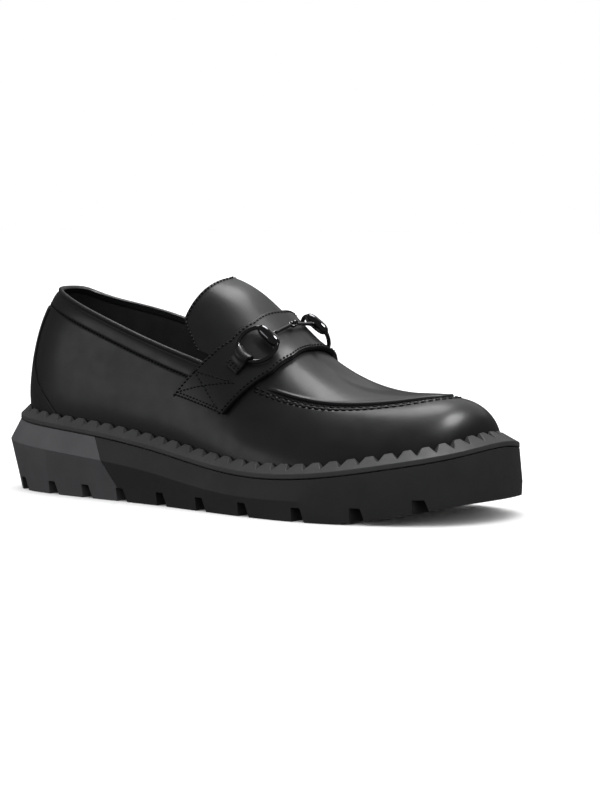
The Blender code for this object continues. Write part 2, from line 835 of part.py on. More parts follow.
def ring_frame(side):
    """Foot and head of a ring on its side of the strap, and the ring's three directions."""
    low, high = RING_SHARES[side]
    foot, _, foot_normal = strap_point(bit_angle(low, side), low, side, BIT_LIFT + WIRE_RADIUS)
    head, _, head_normal = strap_point(bit_angle(high, side), high, side, BIT_LIFT + BARREL_RADIUS)
    up = (head - foot) / np.linalg.norm(head - foot)
    normal = foot_normal + head_normal
    normal -= up * normal.dot(up)
    normal /= np.linalg.norm(normal)
    along = np.cross(up, normal)
    if along[0] < 0:
        along = -along
    return foot, foot + up * (RING_RADIUS + barrel_chord()), up, along, normal


def make_bit(side, name, look):
    """One half of the bit: hoop, barrel across its head, bar and the eye that meets the other half."""
    foot, head, up, along, normal = ring_frame(side)
    centre = foot + up * RING_RADIUS
    start = math.asin(barrel_chord() / RING_RADIUS)
    turns = np.linspace(start, -math.pi - start, HOOP_STEPS)
    line = [centre + (along * math.cos(t) + up * math.sin(t)) * RING_RADIUS for t in turns]
    hoop = tube(line, WIRE_RADIUS, 8)
    spots = [head + along * BARREL_LENGTH * s for s in column(BARREL_TABLE, 0)]
    barrel = tube(spots, [BARREL_RADIUS * s for s in column(BARREL_TABLE, 1)], 10)
    middle, across_ridge, _ = strap_point(KNOT_ANGLE, KNOT_SHARE, 1, KNOT_LIFT + EYE_RADIUS + EYE_WIRE)
    eye_centre = middle - across_ridge * EYE_SHIFT * side
    reach = eye_centre - head
    reach /= np.linalg.norm(reach)
    bar = tube([head, eye_centre - reach * EYE_RADIUS], BAR_RADIUS, 8)
    flat = np.cross(normal, reach)
    flat /= np.linalg.norm(flat)
    second = flat if side > 0 else np.cross(reach, flat)
    eye = loop(eye_centre, reach, second, EYE_RADIUS, EYE_RADIUS, EYE_WIRE, 16, 6)
    return join_bodies(name, [hoop, barrel, bar, eye], look)


def seat_point(side, foot, along, up, place, lift):
    """A point above the strap at a place (along, up) in the ring's own frame, from the ring's foot."""
    share = RING_SHARES[side][0]
    angle = bit_angle(share, side)
    for _ in range(6):
        point = strap_point(angle, share, side, lift)[0]
        by_angle = strap_point(angle + 1, share, side, lift)[0] - point
        by_share = (strap_point(angle, share + 0.01, side, lift)[0] - point) / 0.01
        miss = [place[0] - (point - foot).dot(along), place[1] - (point - foot).dot(up)]
        slopes = [[by_angle.dot(along), by_share.dot(along)], [by_angle.dot(up), by_share.dot(up)]]
        step = np.linalg.solve(slopes, miss)
        angle += step[0]
        share += step[1]
    return strap_point(angle, share, side, lift)[0]


def make_tab(side, name, look):
    """The leather tab that wraps a ring's foot and is sewn to the strap."""
    foot, _, up, along, normal = ring_frame(side)
    inside = WIRE_RADIUS + TAB_SLACK
    reach = inside + TAB_THICKNESS
    bend = [math.radians(a) for a in TAB_TURNS]
    turns = [(reach * math.cos(a), reach * math.sin(a)) for a in bend]
    turns += [(inside * math.cos(a), inside * math.sin(a)) for a in reversed(bend)]
    bm = bmesh.new()
    ends = []
    for shift in np.linspace(-TAB_WIDTH / 2, TAB_WIDTH / 2, TAB_COLUMNS):
        rise = RING_RADIUS - math.sqrt(RING_RADIUS**2 - shift**2)
        far = (shift, -TAB_FOOT)
        near = (shift, rise - inside - BIT_LIFT)
        section = [seat_point(side, foot, along, up, far, SEAT_GAP)]
        section.append(seat_point(side, foot, along, up, far, SEAT_GAP + TAB_THICKNESS))
        section += [foot + along * shift + up * (s + rise) + normal * h for s, h in turns]
        section.append(seat_point(side, foot, along, up, near, SEAT_GAP))
        ends.append([bm.verts.new(corner) for corner in section])
    bm.faces.new(ends[0])
    bm.faces.new(ends[-1])
    for here, there in zip(ends[:-1], ends[1:]):
        for k in range(len(section)):
            n = (k + 1) % len(section)
            bm.faces.new((here[k], here[n], there[n], there[k]))
    bmesh.ops.triangulate(bm, faces=[f for f in bm.faces if len(f.verts) > 4])
    return put(name, bm, look)


def main():
    for old in list(bpy.data.objects):
        bpy.data.objects.remove(old, do_unlink=True)
    outsole_look = material("outsole_rubber", RUBBER, 0.62, 0.0)
    heel_look = material("heel_rubber", GREY_RUBBER, 0.6, 0.0)
    welt_look = material("welt_rubber", RUBBER, 0.55, 0.0)
    leather = material("upper_leather", LEATHER, 0.35, 0.0)
    tongue_look = material("tongue_leather", LEATHER, 0.36, 0.0)
    strap_look = material("strap_leather", LEATHER, 0.34, 0.0)
    tab_look = material("tab_leather", LEATHER, 0.38, 0.0)
    medial_tab_look = material("medial_tab_leather", LEATHER, 0.38, 0.0)
    lining = material("insole_lining", LINING, 0.8, 0.0)
    black_metal = material("bit_metal", METAL, 0.15, 1.0)
    medial_metal = material("medial_bit_metal", METAL, 0.15, 1.0)

    lean = Vector((HEEL_HEIGHT, 0.0, HEEL_CUT_FOOT - HEEL_CUT_TOP)).normalized()
    seat = Vector((HEEL_CUT_TOP, 0.0, HEEL_HEIGHT))
    cutters = [slot_cutter(k, place) for k, place in enumerate(LUG_PLACES)]
    for name, front, look in (("outsole", True, outsole_look), ("heel_block", False, heel_look)):
        bm = make_sole()
        shift = GAP / 2 if front else -GAP / 2
        split_sole(bm, seat + lean * shift, lean, front)
        unit = put(name, bm, look)
        cut_slots(unit, cutters)
        bake(unit)
    drop(cutters)
    make_welt(welt_look)
    make_insole(lining)
    make_upper(leather)
    make_tongue(tongue_look)
    make_strap(strap_look)
    make_tab(1, "bit_tab_lateral", tab_look)
    make_tab(-1, "bit_tab_medial", medial_tab_look)
    make_bit(1, "bit_lateral", black_metal)
    make_bit(-1, "bit_medial", medial_metal)


main()
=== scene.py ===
"""Looks of a bit loafer for the right foot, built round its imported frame.

Metres, +Z up, toe toward +X, lateral side toward -Y, origin on the floor under the sole's middle.
Angles round the last run from the heel (0) by the lateral side (90) and the toe (180) to the
medial side (270). Shares up the last run from its feather edge (0) to its ridge (1). A run is a
distance along a piece's surface, from the topline, the seam or the piece's own edge.
"""

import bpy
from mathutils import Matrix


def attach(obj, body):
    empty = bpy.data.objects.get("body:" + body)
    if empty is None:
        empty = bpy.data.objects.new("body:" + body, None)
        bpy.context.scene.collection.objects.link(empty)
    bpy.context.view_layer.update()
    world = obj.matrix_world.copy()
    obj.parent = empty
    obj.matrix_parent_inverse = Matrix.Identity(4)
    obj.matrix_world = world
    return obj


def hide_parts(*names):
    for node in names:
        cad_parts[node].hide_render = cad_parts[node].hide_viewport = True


bl_info = {
    "name": "Bit Loafer",
    "version": (1, 0, 0),
    "blender": (4, 5, 0),
    "location": "View3D > Sidebar > Loafer",
    "description": "Dresses the packed frame of a bit loafer in leather, rubber and black metal",
    "category": "Add Mesh",
}

import math

import bmesh
import bpy
import numpy as np
from bpy.props import FloatProperty, FloatVectorProperty, PointerProperty
from mathutils import Vector

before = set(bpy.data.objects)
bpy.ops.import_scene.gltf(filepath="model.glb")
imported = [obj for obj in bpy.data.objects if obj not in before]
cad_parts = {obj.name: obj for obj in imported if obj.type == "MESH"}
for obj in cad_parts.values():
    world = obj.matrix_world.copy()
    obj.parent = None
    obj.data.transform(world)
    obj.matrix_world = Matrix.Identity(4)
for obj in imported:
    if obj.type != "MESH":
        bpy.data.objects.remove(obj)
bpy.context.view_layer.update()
BODY = "root"

# Sizes of the form, as in the frame's own pieces
SOLE_LENGTH = 0.302
SOLE_WIDTH = 0.112
HEEL_HEIGHT = 0.0384
GAP = 0.0003
SEAT_GAP = 0.00045
WALL = 0.0018
FEATHER_TUCK = 0.0020
TUCK_HEIGHT = 0.018
RIDGE_HEIGHT = 0.1265
SPINE_REACH = 0.089
SPINE_SHIFT = 0.011
THROAT_ANGLE = 95.0
APRON_RISE = 0.0010
APRON_RAMP = 6.0
APRON_SHARE = 0.31
APRON_START = 1.0
BALL_ANGLE = 122.0
BALL_RAMP = 10.0
WELT_HEIGHT = 0.0070
WELT_RIB = 0.0026
TOOTH_PITCH = 0.0099
LUG_DEPTH = 0.0070
LUG_SLOT = 0.0052
LUG_SLOPE = 0.0022
CUT_UNDER = 0.001
CUT_LEAN = 0.0002
HEEL_CUT_TOP = -0.0770
HEEL_CUT_FOOT = -0.0500
INSOLE_THICKNESS = 0.003
INSOLE_CLEARANCE = 0.0006
HEEL_STRIP = 0.0005
STRAP_THICKNESS = 0.0026
TONGUE_THICKNESS = 0.0022
TONGUE_CLEARANCE = 0.0175
TONGUE_ROOT = 94.2
TONGUE_EASE = 0.36
TONGUE_MIDDLE = 84.0
STRAP_MIDDLE = 93.0
END_TILT = 0.024
TAB_THICKNESS = 0.0014
TAB_WIDTH = 0.0088
TAB_FOOT = 0.0082
TAB_SLACK = 0.0005
TAB_REST = 0.62
TAB_EDGE = 0.85
TAB_ROUND = 0.0002
WIRE_RADIUS = 0.0011
BARREL_RADIUS = 0.0030
BARREL_LENGTH = 0.0146
BARREL_SET = 0.0006
RING_RADIUS = 0.0099
BAR_RADIUS = 0.0009
BAR_COLLAR = 0.30
BAR_COLLAR_LINE = (0.30, 0.10)
EYE_RADIUS = 0.0017
EYE_WIRE = 0.00065
EYE_SHIFT = 0.00085
BIT_LIFT = 0.0010
KNOT_LIFT = 0.0004

# Where the bit lies on the strap, lateral half (1) and medial half (-1): shares up the last of a
# ring's foot and head, and degrees behind the strap's middle. Angle and share of the knot.
RING_SHARES = {1: (0.370, 0.515), -1: (0.405, 0.580)}
BIT_LAG = {1: 0.3, -1: 1.4}
KNOT_ANGLE = 98.9
KNOT_SHARE = 0.81

# One row per 20 degrees from heel (0) to toe (180). Outline and insets as shares of half the
# sole's width, heights as shares of the heel's height.
#        lateral  medial  wall_top  spring  ridge  facet   draft   welt
SOLE_TABLE = [
    (0, 0.000, 0.000, 1.000, 0.000, 0.72, 0.0982, 0.1071, 0.0929),
    (20, -0.426, 0.430, 0.979, 0.000, 0.72, 0.0982, 0.1071, 0.0929),
    (40, -0.642, 0.635, 0.922, 0.000, 0.70, 0.0929, 0.0982, 0.0982),
    (60, -0.730, 0.675, 0.846, 0.000, 0.67, 0.0804, 0.0804, 0.1036),
    (80, -0.815, 0.700, 0.695, 0.000, 0.62, 0.0536, 0.0536, 0.1071),
    (100, -0.985, 0.860, 0.521, 0.000, 0.52, 0.0357, 0.0321, 0.1107),
    (120, -1.045, 1.000, 0.544, 0.000, 0.49, 0.0268, 0.0179, 0.1143),
    (140, -0.849, 0.930, 0.698, 0.099, 0.35, 0.0268, 0.0089, 0.1214),
    (160, -0.510, 0.630, 0.836, 0.245, 0.30, 0.0268, 0.0054, 0.1321),
    (180, 0.070, 0.070, 0.930, 0.284, 0.30, 0.0268, 0.0054, 0.1393),
]
# The last's sections: exponents of the side and the rise, the topline and seam as shares, and the
# exponents of the tongue's own arch.
#        angle side  rise  lateral_edge medial_edge tongue_side tongue_rise
LAST_TABLE = [
    (0, 0.849, 0.86, 0.341, 0.341, 0.85, 1.00),
    (20, 0.723, 0.853, 0.344, 0.339, 0.80, 1.00),
    (40, 0.423, 0.872, 0.336, 0.320, 0.80, 1.00),
    (60, 0.264, 0.924, 0.281, 0.297, 0.75, 1.00),
    (80, 0.454, 1.178, 0.260, 0.280, 0.65, 1.10),
    (100, 0.780, 1.429, 0.315, 0.316, 0.78, 1.43),
    (120, 0.826, 1.455, 0.387, 0.378, 0.83, 1.46),
    (140, 0.750, 1.270, 0.477, 0.455, 0.75, 1.27),
    (160, 0.601, 1.139, 0.595, 0.565, 0.60, 1.14),
    (180, 0.399, 1.051, 0.687, 0.687, 0.40, 1.05),
]
# The ridge along the top of the last, as shares: place of half the sole's length, height of the
# ridge's height, sideways shift of half the sole's width.
#        along   height  sideways
RIDGE_TABLE = [
    (-0.5166, 1.000, 0.0000),
    (-0.3311, 0.955, 0.0661),
    (-0.1325, 0.921, 0.1107),
    (0.0331, 0.843, 0.1107),
    (0.1987, 0.659, 0.0857),
    (0.3642, 0.519, 0.0661),
    (0.5298, 0.469, 0.0375),
    (0.6623, 0.469, 0.0232),
]
# The saddle strap's two edges, as angles, by share up the last.
#        share  rear  front
STRAP_TABLE = [
    (0.150, 81.6, 93.9),
    (0.240, 85.9, 97.6),
    (0.300, 88.3, 99.9),
    (0.400, 91.5, 103.6),
    (0.560, 93.3, 106.0),
    (1.000, 93.2, 106.5),
]
# The tongue's end, as an angle, by share up the last.
#        share  rear
TONGUE_TABLE = [
    (0.283, 84.0),
    (0.303, 82.0),
    (0.325, 80.2),
    (0.345, 78.6),
    (0.370, 78.0),
    (0.420, 77.8),
    (0.480, 77.6),
    (0.550, 77.2),
    (0.630, 76.6),
    (0.720, 75.6),
    (0.820, 74.3),
    (0.910, 73.2),
    (1.000, 72.0),
]
# One tooth of the welt: place along its pitch, and height as a share of the welt's height.
#        place  height
TOOTH_TABLE = [
    (0.00, 0.58),
    (0.29, 1.00),
    (0.71, 1.00),
    (1.00, 0.58),
]
CREST_SHARE = 0.88
# Rear edges of the lug slots along the shoe, as shares of half the sole's length.
LUG_PLACES = [-0.8874, -0.7126, -0.5417, -0.3748, -0.1795, 0.0166, 0.2199, 0.4464, 0.6497, 0.8358]
# The barrel on a ring's head, from its middle to one end: place along its length, and radius as a
# share.
#        place  radius
BARREL_HALF = [
    (0.00, 1.00),
    (0.12, 1.00),
    (0.25, 0.97),
    (0.35, 0.88),
    (0.42, 0.74),
    (0.46, 0.62),
    (0.49, 0.48),
    (0.50, 0.34),
]
BARREL_PROFILE = [(-place, radius) for place, radius in BARREL_HALF[:0:-1]] + BARREL_HALF
# Turns of a tab round its ring's foot, in degrees.
TAB_TURNS = [165, 150, 135, 120, 105, 90, 75, 60, 45, 30, 15, -2, -20]
# The heel strip's edge, as an angle, by share up the last.
#        share  edge
HEEL_STRIP_TABLE = [
    (0.000, 46.0),
    (0.025, 42.0),
    (0.043, 38.0),
    (0.065, 32.0),
    (0.103, 26.0),
    (0.173, 25.0),
    (0.258, 27.5),
]
STRIP_MARGIN = 3.0
STRIP_FOOT = 0.004
STRIP_LIFT = 0.00002
# Soft troughs in the leather: from and to as angle and share, width and depth in metres.
#        angle  share  angle  share  width   depth
CREASE_TABLE = [
    (40.0, 0.170, 80.0, 0.150, 0.0090, 0.00050),
    (98.0, 0.120, 112.0, 0.220, 0.0060, 0.00025),
    (124.0, 0.200, 134.0, 0.330, 0.0050, 0.00022),
    (131.0, 0.180, 140.0, 0.320, 0.0045, 0.00018),
    (-40.0, 0.170, -80.0, 0.150, 0.0090, 0.00050),
    (-124.0, 0.200, -134.0, 0.330, 0.0050, 0.00022),
    (-131.0, 0.180, -140.0, 0.320, 0.0045, 0.00018),
]
CREASE_FADE = 0.3

# Ridges and grooves along the side wall: run from its edge and half width, in metres. The seam's
# also have their height, as a factor of the stitch groove's depth.
BEAD_LINE = (0.0009, 0.0008)
FOLD_LINE = (0.0024, 0.0005)
APRON_BEAD_LINE = (0.0010, 0.0007)
SEAM_ROWS = (0.0015, 0.0033)
SEAM_LINES = [
    (0.0003, 0.0004, -1.3),
    (SEAM_ROWS[0], 0.0004, -0.8),
    (SEAM_ROWS[1], 0.0004, -0.8),
    (0.0024, 0.0007, 0.8),
]
BAND_GROOVE = 1.3
GROOVE_WIDTH = 0.00045
PUFF_START = 0.0025
APRON_ROUND = 0.00022
# The collar ends at this angle, and its beads fade out over these degrees.
COLLAR_END = 86.0
COLLAR_FADE = 5.0
# The binding inside the topline: how far it stands in, its width, the ramp at its edge, and how
# high the topline is rolled.
BINDING = 0.0004
BINDING_WIDTH = 0.0036
BINDING_RAMP = 0.0006
BINDING_EDGE = 0.0040
TOPLINE_CROWN = 0.00045
TOPLINE_STEPS = (0.2, 0.5, 0.8)
# The insole's crown, the thinning at its rim, and the share of its reach over which that eases.
INSOLE_CROWN = 0.0006
INSOLE_THINNING = 0.0008
INSOLE_EASE = 0.02
INSOLE_SHARES = (0.0, 0.004, 0.02, 0.05, 0.12, 0.25, 0.45, 0.70, 1.0)

# Eased edges: width of the bevel in metres, and the least angle that is eased, in degrees
SOLE_BEVEL = (0.0005, 38.0)
WELT_BEVEL = (0.00025, 30.0)
TAB_BEVEL = (0.0002, 60.0)
WELT_CHAMFER = 0.0004
SOLE_SHARP = 14.0
WELT_SHARP = 20.0

# Corners of the sewn box at the strap's end, as angle and share up the last
BOX_TOP_REAR = (86.2, 0.236)
BOX_TOP_FRONT = (95.8, 0.274)
BOX_FOOT_REAR = (82.9, 0.1625)
BOX_FOOT_FRONT = (93.3, 0.182)
END_REAR = (82.4, 0.1545)
END_FRONT = (93.9, 0.1755)
# The five lines sewn there
BOX_LINES = [
    (BOX_TOP_REAR, BOX_TOP_FRONT),
    (BOX_TOP_REAR, BOX_FOOT_FRONT),
    (BOX_FOOT_REAR, BOX_TOP_FRONT),
    (BOX_FOOT_REAR, BOX_FOOT_FRONT),
    (END_REAR, END_FRONT),
]
# Stitches: length as a share of their pitch, lift over the leather, first and last angle of the
# apron's seam, and how much thicker its thread and how much finer the tabs' thread is.
STITCH_SHARE = 0.76
GROOVE_STITCH_LIFT = 0.00018
SHEET_STITCH_LIFT = 0.00010
SEAM_SPAN = (101, 259)
SEAM_THREAD = 1.25
TAB_STITCH = 0.8
TAB_STITCH_OUT = 0.0001
TAB_STITCH_RISE = 0.0002

# Points closer than this are joined.
MERGE = 1e-6

# How finely the pieces are stepped, and the close rows beside an edge, as runs in metres
UPPER_COLUMNS = 360
SIDE_NEAR = [0.0, 0.0002, 0.0005, 0.0009, 0.0013, 0.0015, 0.0018, 0.0022, 0.0026, 0.0030, 0.0033,
             0.0036, 0.0041, 0.0048, 0.0058, 0.0070, 0.0083, 0.0092, 0.0096, 0.0100, 0.0104,
             0.0108, 0.0116]
SIDE_ROWS = 22
APRON_NEAR = [0.00015, 0.0003, 0.0005, 0.0008, 0.0011, 0.0015, 0.0020, 0.0027, 0.0036, 0.0048]
APRON_ROWS = 18
SHEET_NEAR = [0.0, 0.0006, 0.0011, 0.0016, 0.0021, 0.0028, 0.0038]
STITCH_COLUMN = 3
SOLE_COLUMNS = 360
INSOLE_COLUMNS = 180
STRAP_ROWS = 66
TONGUE_ROWS = 60
CROSSING_STEPS = 7
STRIP_ROWS = 50
SECTION_SAMPLES = 120
STRIP_RIM = [-1, -0.99, -0.975, -0.95]
STRIP_ACROSS = np.concatenate([STRIP_RIM, np.linspace(-0.9, 0.9, 40), -np.array(STRIP_RIM[::-1])])
# Steps round and along the bit's bars
RING_STEPS = (73, 16)
BARREL_STEPS = 28
BAR_STEPS = (24, 14)
EYE_STEPS = (36, 12)
TAB_STEPS = 13
BOX_STEPS = 12
# Shares between which the way up a section is measured
SHARE_STEP = 0.02
NEAR_RIDGE = 0.9
# Samples of the welt's run, and steps along one tooth, as places along its pitch
WELT_SAMPLES = 2881
WELT_STEPS = [0.0, 0.10, 0.20, 0.29, 0.38, 0.47, 0.53, 0.62, 0.71, 0.80, 0.90]

# Section of a sheet's edge: share of the thickness, and inset in metres
ROUND_EDGE = [(1.0, 0.00045), (0.86, 0.00012), (0.60, 0.0), (0.30, 0.0), (0.0, 0.0004)]
LAYERED_EDGE = [
    (1.0, 0.0005),
    (0.88, 0.00012),
    (0.70, 0.0),
    (0.58, 0.00004),
    (0.52, 0.00035),
    (0.46, 0.00004),
    (0.30, 0.0),
    (0.0, 0.0003),
]
STRIP_EDGE = [(1.0, 0.0003), (0.7, 0.00005), (0.3, 0.0), (0.0, 0.0)]

# Soft boxes that the shoe's gloss reflects: turn and height in degrees, size in metres at
# BOX_DISTANCE, brightness
#   name     turn  height  width  height  brightness
SOFT_BOXES = [
    ("box_instep", 121.0, 70.0, 0.74, 0.74, 6.2),
    ("box_toe", 15.0, 59.0, 0.70, 0.70, 12.4),
    ("box_back", 95.0, 38.0, 1.80, 1.20, 0.45),
    ("box_heel", -138.0, 4.0, 0.80, 0.50, 1.1),
]
BOX_DISTANCE = 1.5
SHOE_MIDDLE = Vector((0.0, 0.0, 0.06))
FLOOR_REACH = 12.0


def length_property(label, words, value):
    return FloatProperty(name=label, description=words, default=value, unit="LENGTH")


def angle_property(label, words, degrees):
    return FloatProperty(name=label, description=words, default=math.radians(degrees), subtype="ANGLE")


def number_property(label, words, value):
    return FloatProperty(name=label, description=words, default=value)


def colour_property(label, words, value):
    return FloatVectorProperty(
        name=label, description=words, default=value, min=0.0, max=1.0, size=3, subtype="COLOR")


class LoaferSizes(bpy.types.PropertyGroup):
    """Sizes of the leather work that a maker would choose."""

    collar_band: length_property("Collar band", "Width of the band under the topline", 0.0100)
    collar_bead: length_property("Collar bead", "Height of the rolled bead on the topline", 0.0007)
    collar_puff: length_property("Collar puff", "How far the collar band stands out", 0.00025)
    groove: length_property("Stitch groove", "Depth of the groove under a row of stitches", 0.00028)
    seam_bead: length_property("Seam bead", "Height of the bead along the apron's edge", 0.00035)
    strip_thickness: length_property("Heel strip", "Thickness of the strip up the heel", 0.0006)
    stitch_pitch: length_property("Stitch pitch", "Distance between stitches along an edge", 0.0023)
    seam_pitch: length_property("Seam pitch", "Distance between the apron seam's stitches", 0.0036)
    thread: length_property("Thread", "Thickness of the thread", 0.00095)


class LoaferColours(bpy.types.PropertyGroup):
    """Base colours of the materials."""

    leather: colour_property("Leather", "Polished black leather", (0.0050, 0.0050, 0.0056))
    lining: colour_property("Lining", "Lining leather", (0.0110, 0.0110, 0.0116))
    thread: colour_property("Thread", "Sewing thread", (0.0015, 0.0015, 0.0016))
    rubber: colour_property("Rubber", "Black rubber of the outsole", (0.0190, 0.0190, 0.0196))
    heel: colour_property("Heel rubber", "Dark grey rubber of the heel", (0.0600, 0.0600, 0.0630))
    welt: colour_property("Welt rubber", "Black rubber of the welt", (0.0360, 0.0360, 0.0370))
    metal: colour_property("Metal", "Black metal of the bit", (0.1200, 0.1200, 0.1240))
    floor: colour_property("Floor", "Plain pale floor", (0.90, 0.90, 0.90))


class LoaferStage(bpy.types.PropertyGroup):
    """Camera and light round the shoe."""

    azimuth: angle_property("Azimuth", "Camera's turn round the shoe", 35.05)
    elevation: angle_property("Elevation", "Camera's angle over the floor", 4.34)
    distance: length_property("Distance", "Camera to the point it looks at", 1.296)
    lens: number_property("Lens", "Focal length in millimetres on a 36 mm sensor", 113.13)
    aim_right: length_property("Aim right", "Shift of the aim to the view's right", 0.0263)
    aim_up: length_property("Aim up", "Shift of the aim up the view", 0.0025)
    aim_height: length_property("Aim height", "Height of the aim over the floor", 0.050)
    overhead: number_property("Overhead", "Strength of the light from above", 0.8)
    overhead_spread: angle_property("Overhead spread", "Width of the light from above", 80.0)
    dome: number_property("Dome", "Strength of the soft light from all of the sky", 5.0)
    dome_spread: angle_property("Dome spread", "Width of the soft light", 170.0)
    gloss: number_property("Gloss", "Brightness of the soft boxes, as a factor", 1.0)
    fill: number_property("Fill", "Strength of the dim surroundings", 0.07)


def column(table, index):
    return [row[index] for row in table]


def closed_spline(lateral, medial, angle):
    """A smooth closed curve through station values of both sides, read at an angle."""
    values = np.array(list(lateral) + list(medial[-2:0:-1]), float)
    count = len(values)
    step = 360.0 / count
    matrix = np.zeros((count, count))
    for i in range(count):
        matrix[i, i - 1] = step
        matrix[i, i] = 4 * step
        matrix[i, (i + 1) % count] = step
    turn = 6 * (np.roll(values, -1) - 2 * values + np.roll(values, 1)) / step
    bend = np.linalg.solve(matrix, turn)
    place = (np.asarray(angle, float) % 360.0) / step
    i = np.floor(place).astype(int) % count
    j = (i + 1) % count
    t = (place - np.floor(place)) * step
    u = step - t
    curve = bend[i] * u**3 / (6 * step) + bend[j] * t**3 / (6 * step)
    curve += (values[i] / step - bend[i] * step / 6) * u
    curve += (values[j] / step - bend[j] * step / 6) * t
    return curve


def alike(table, index, angle):
    """A station column that is the same on both sides."""
    values = column(table, index)
    return closed_spline(values, values, angle)


def natural_spline(knots, values, place):
    """A smooth open curve through the values, held at its ends."""
    knots = np.array(knots, float)
    values = np.array(values, float)
    count = len(knots)
    gap = np.diff(knots)
    matrix = np.eye(count)
    turn = np.zeros(count)
    for i in range(1, count - 1):
        matrix[i, i - 1] = gap[i - 1]
        matrix[i, i] = 2 * (gap[i - 1] + gap[i])
        matrix[i, i + 1] = gap[i]
        turn[i] = 6 * ((values[i + 1] - values[i]) / gap[i] - (values[i] - values[i - 1]) / gap[i - 1])
    bend = np.linalg.solve(matrix, turn)
    place = np.clip(np.asarray(place, float), knots[0], knots[-1])
    i = np.clip(np.searchsorted(knots, place, side="right") - 1, 0, count - 2)
    t = place - knots[i]
    u = gap[i] - t
    curve = bend[i] * u**3 / (6 * gap[i]) + bend[i + 1] * t**3 / (6 * gap[i])
    curve += (values[i] / gap[i] - bend[i] * gap[i] / 6) * u
    curve += (values[i + 1] / gap[i] - bend[i + 1] * gap[i] / 6) * t
    return curve


def folded(angle):
    """The angle from the heel, the same on both sides."""
    turned = np.asarray(angle, float) % 360.0
    return np.minimum(turned, 360.0 - turned)


def smooth_step(t):
    t = np.clip(t, 0, 1)
    return t * t * (3 - 2 * t)


def bump(run, centre, width):
    return np.exp(-(((run - centre) / width) ** 2))


def sole_inset(index, angle):
    return alike(SOLE_TABLE, index, angle) * SOLE_WIDTH / 2


def outline(angle, inset):
    """The sole's outline in plan, moved inward by an inset."""
    angle = np.asarray(angle, float)

    def at(a):
        x = -SOLE_LENGTH / 2 * np.cos(np.radians(a))
        share = closed_spline(column(SOLE_TABLE, 1), column(SOLE_TABLE, 2), a)
        return np.stack([x, share * SOLE_WIDTH / 2], -1)

    ahead = at(angle + 0.05) - at(angle - 0.05)
    ahead /= np.linalg.norm(ahead, axis=-1, keepdims=True)
    inward = np.stack([-ahead[..., 1], ahead[..., 0]], -1)
    return at(angle) + inward * np.asarray(inset, float)[..., None]


def wall_top(angle):
    return alike(SOLE_TABLE, 3, angle) * HEEL_HEIGHT


def toe_spring(angle):
    rest = np.clip((folded(angle) - BALL_ANGLE) / BALL_RAMP, 0.0, 1.0)
    return np.maximum(alike(SOLE_TABLE, 4, angle), 0.0) * HEEL_HEIGHT * rest


def deck_height(x):
    """Height of the sole's deck at a place along the shoe."""
    return wall_top(np.degrees(np.arccos(np.clip(-2 * x / SOLE_LENGTH, -1, 1))))


def ring(angle, inset, height):
    return raised(outline(angle, inset), height)


def feather_inset(angle):
    return sole_inset(6, angle) + sole_inset(8, angle)


def ridge_point(angle):
    """Place, sideways shift and height of the ridge above an angle round the last."""
    x = SPINE_SHIFT - SPINE_REACH * np.cos(np.radians(angle))
    place = x * 2 / SOLE_LENGTH
    y = natural_spline(column(RIDGE_TABLE, 0), column(RIDGE_TABLE, 2), place) * SOLE_WIDTH / 2
    high = natural_spline(column(RIDGE_TABLE, 0), column(RIDGE_TABLE, 1), place) * RIDGE_HEIGHT
    return x, y, high


def last(angle, share, side_column=1, rise_column=2):
    """The last's surface at an angle around and a share up its section."""
    angle, share = np.broadcast_arrays(np.asarray(angle, float), np.asarray(share, float))
    foot = outline(angle, feather_inset(angle))
    low = wall_top(angle) + GAP
    x, y, high = ridge_point(angle)
    sweep = math.pi / 2 * (1 - (1 - share) ** 2)
    out = np.where(share >= 1, 0.0, np.clip(np.cos(sweep), 0, 1) ** alike(LAST_TABLE, side_column, angle))
    z = low + (high - low) * np.sin(sweep) ** alike(LAST_TABLE, rise_column, angle)
    top = np.stack([x, y], -1)
    reach = foot - top
    outward = reach / np.linalg.norm(reach, axis=-1, keepdims=True)
    tuck = np.clip(1 - (z - low) / TUCK_HEIGHT, 0, 1) ** 2 * FEATHER_TUCK
    plan = top + reach * out[..., None] - outward * (tuck * out)[..., None]
    return raised(plan, z)


def tongue_form(angle, share):
    return last(angle, share, 5, 6)


def share_at_height(angle, height):
    """The share up the section where the last stands a height above its feather edge."""
    low = wall_top(angle) + GAP
    high = ridge_point(angle)[2]
    part = (height / (high - low)) ** (1 / alike(LAST_TABLE, 2, angle))
    return 1 - np.sqrt(1 - np.arcsin(part) * 2 / math.pi)


def upper_edge(angle):
    """Share of the topline, and ahead of the throat of the apron's seam."""
    return closed_spline(column(LAST_TABLE, 3), column(LAST_TABLE, 4), angle)


def strap_edge(share, index):
    return np.interp(share, column(STRAP_TABLE, 0), column(STRAP_TABLE, index))


def apron_ramp(angle):
    """How far the apron's edge has come up ahead of the saddle strap, from 0 to 1."""
    start = strap_edge(APRON_SHARE, 2) + APRON_START
    return smooth_step((folded(angle) - start) / APRON_RAMP)


def runs_along(points):
    """Distances along a line of points, from its first."""
    steps = np.linalg.norm(np.diff(points, axis=0), axis=1)
    return np.concatenate([[0.0], np.cumsum(steps)])


def spaced(total, near, steps):
    """Runs close together beside an edge, then even up to a whole length."""
    return np.concatenate([near, near[-1] + (total - near[-1]) * np.arange(1, steps + 1) / steps])


def unit(vectors):
    return vectors / np.maximum(np.linalg.norm(vectors, axis=-1, keepdims=True), 1e-12)


def mesh_normals(points, quads):
    """Area-weighted unit normals of a mesh of four-cornered faces, at its points."""
    corners = points[quads]
    across = np.cross(corners[:, 2] - corners[:, 0], corners[:, 3] - corners[:, 1])
    total = np.zeros_like(points)
    for k in range(4):
        np.add.at(total, quads[:, k], across)
    return unit(total)


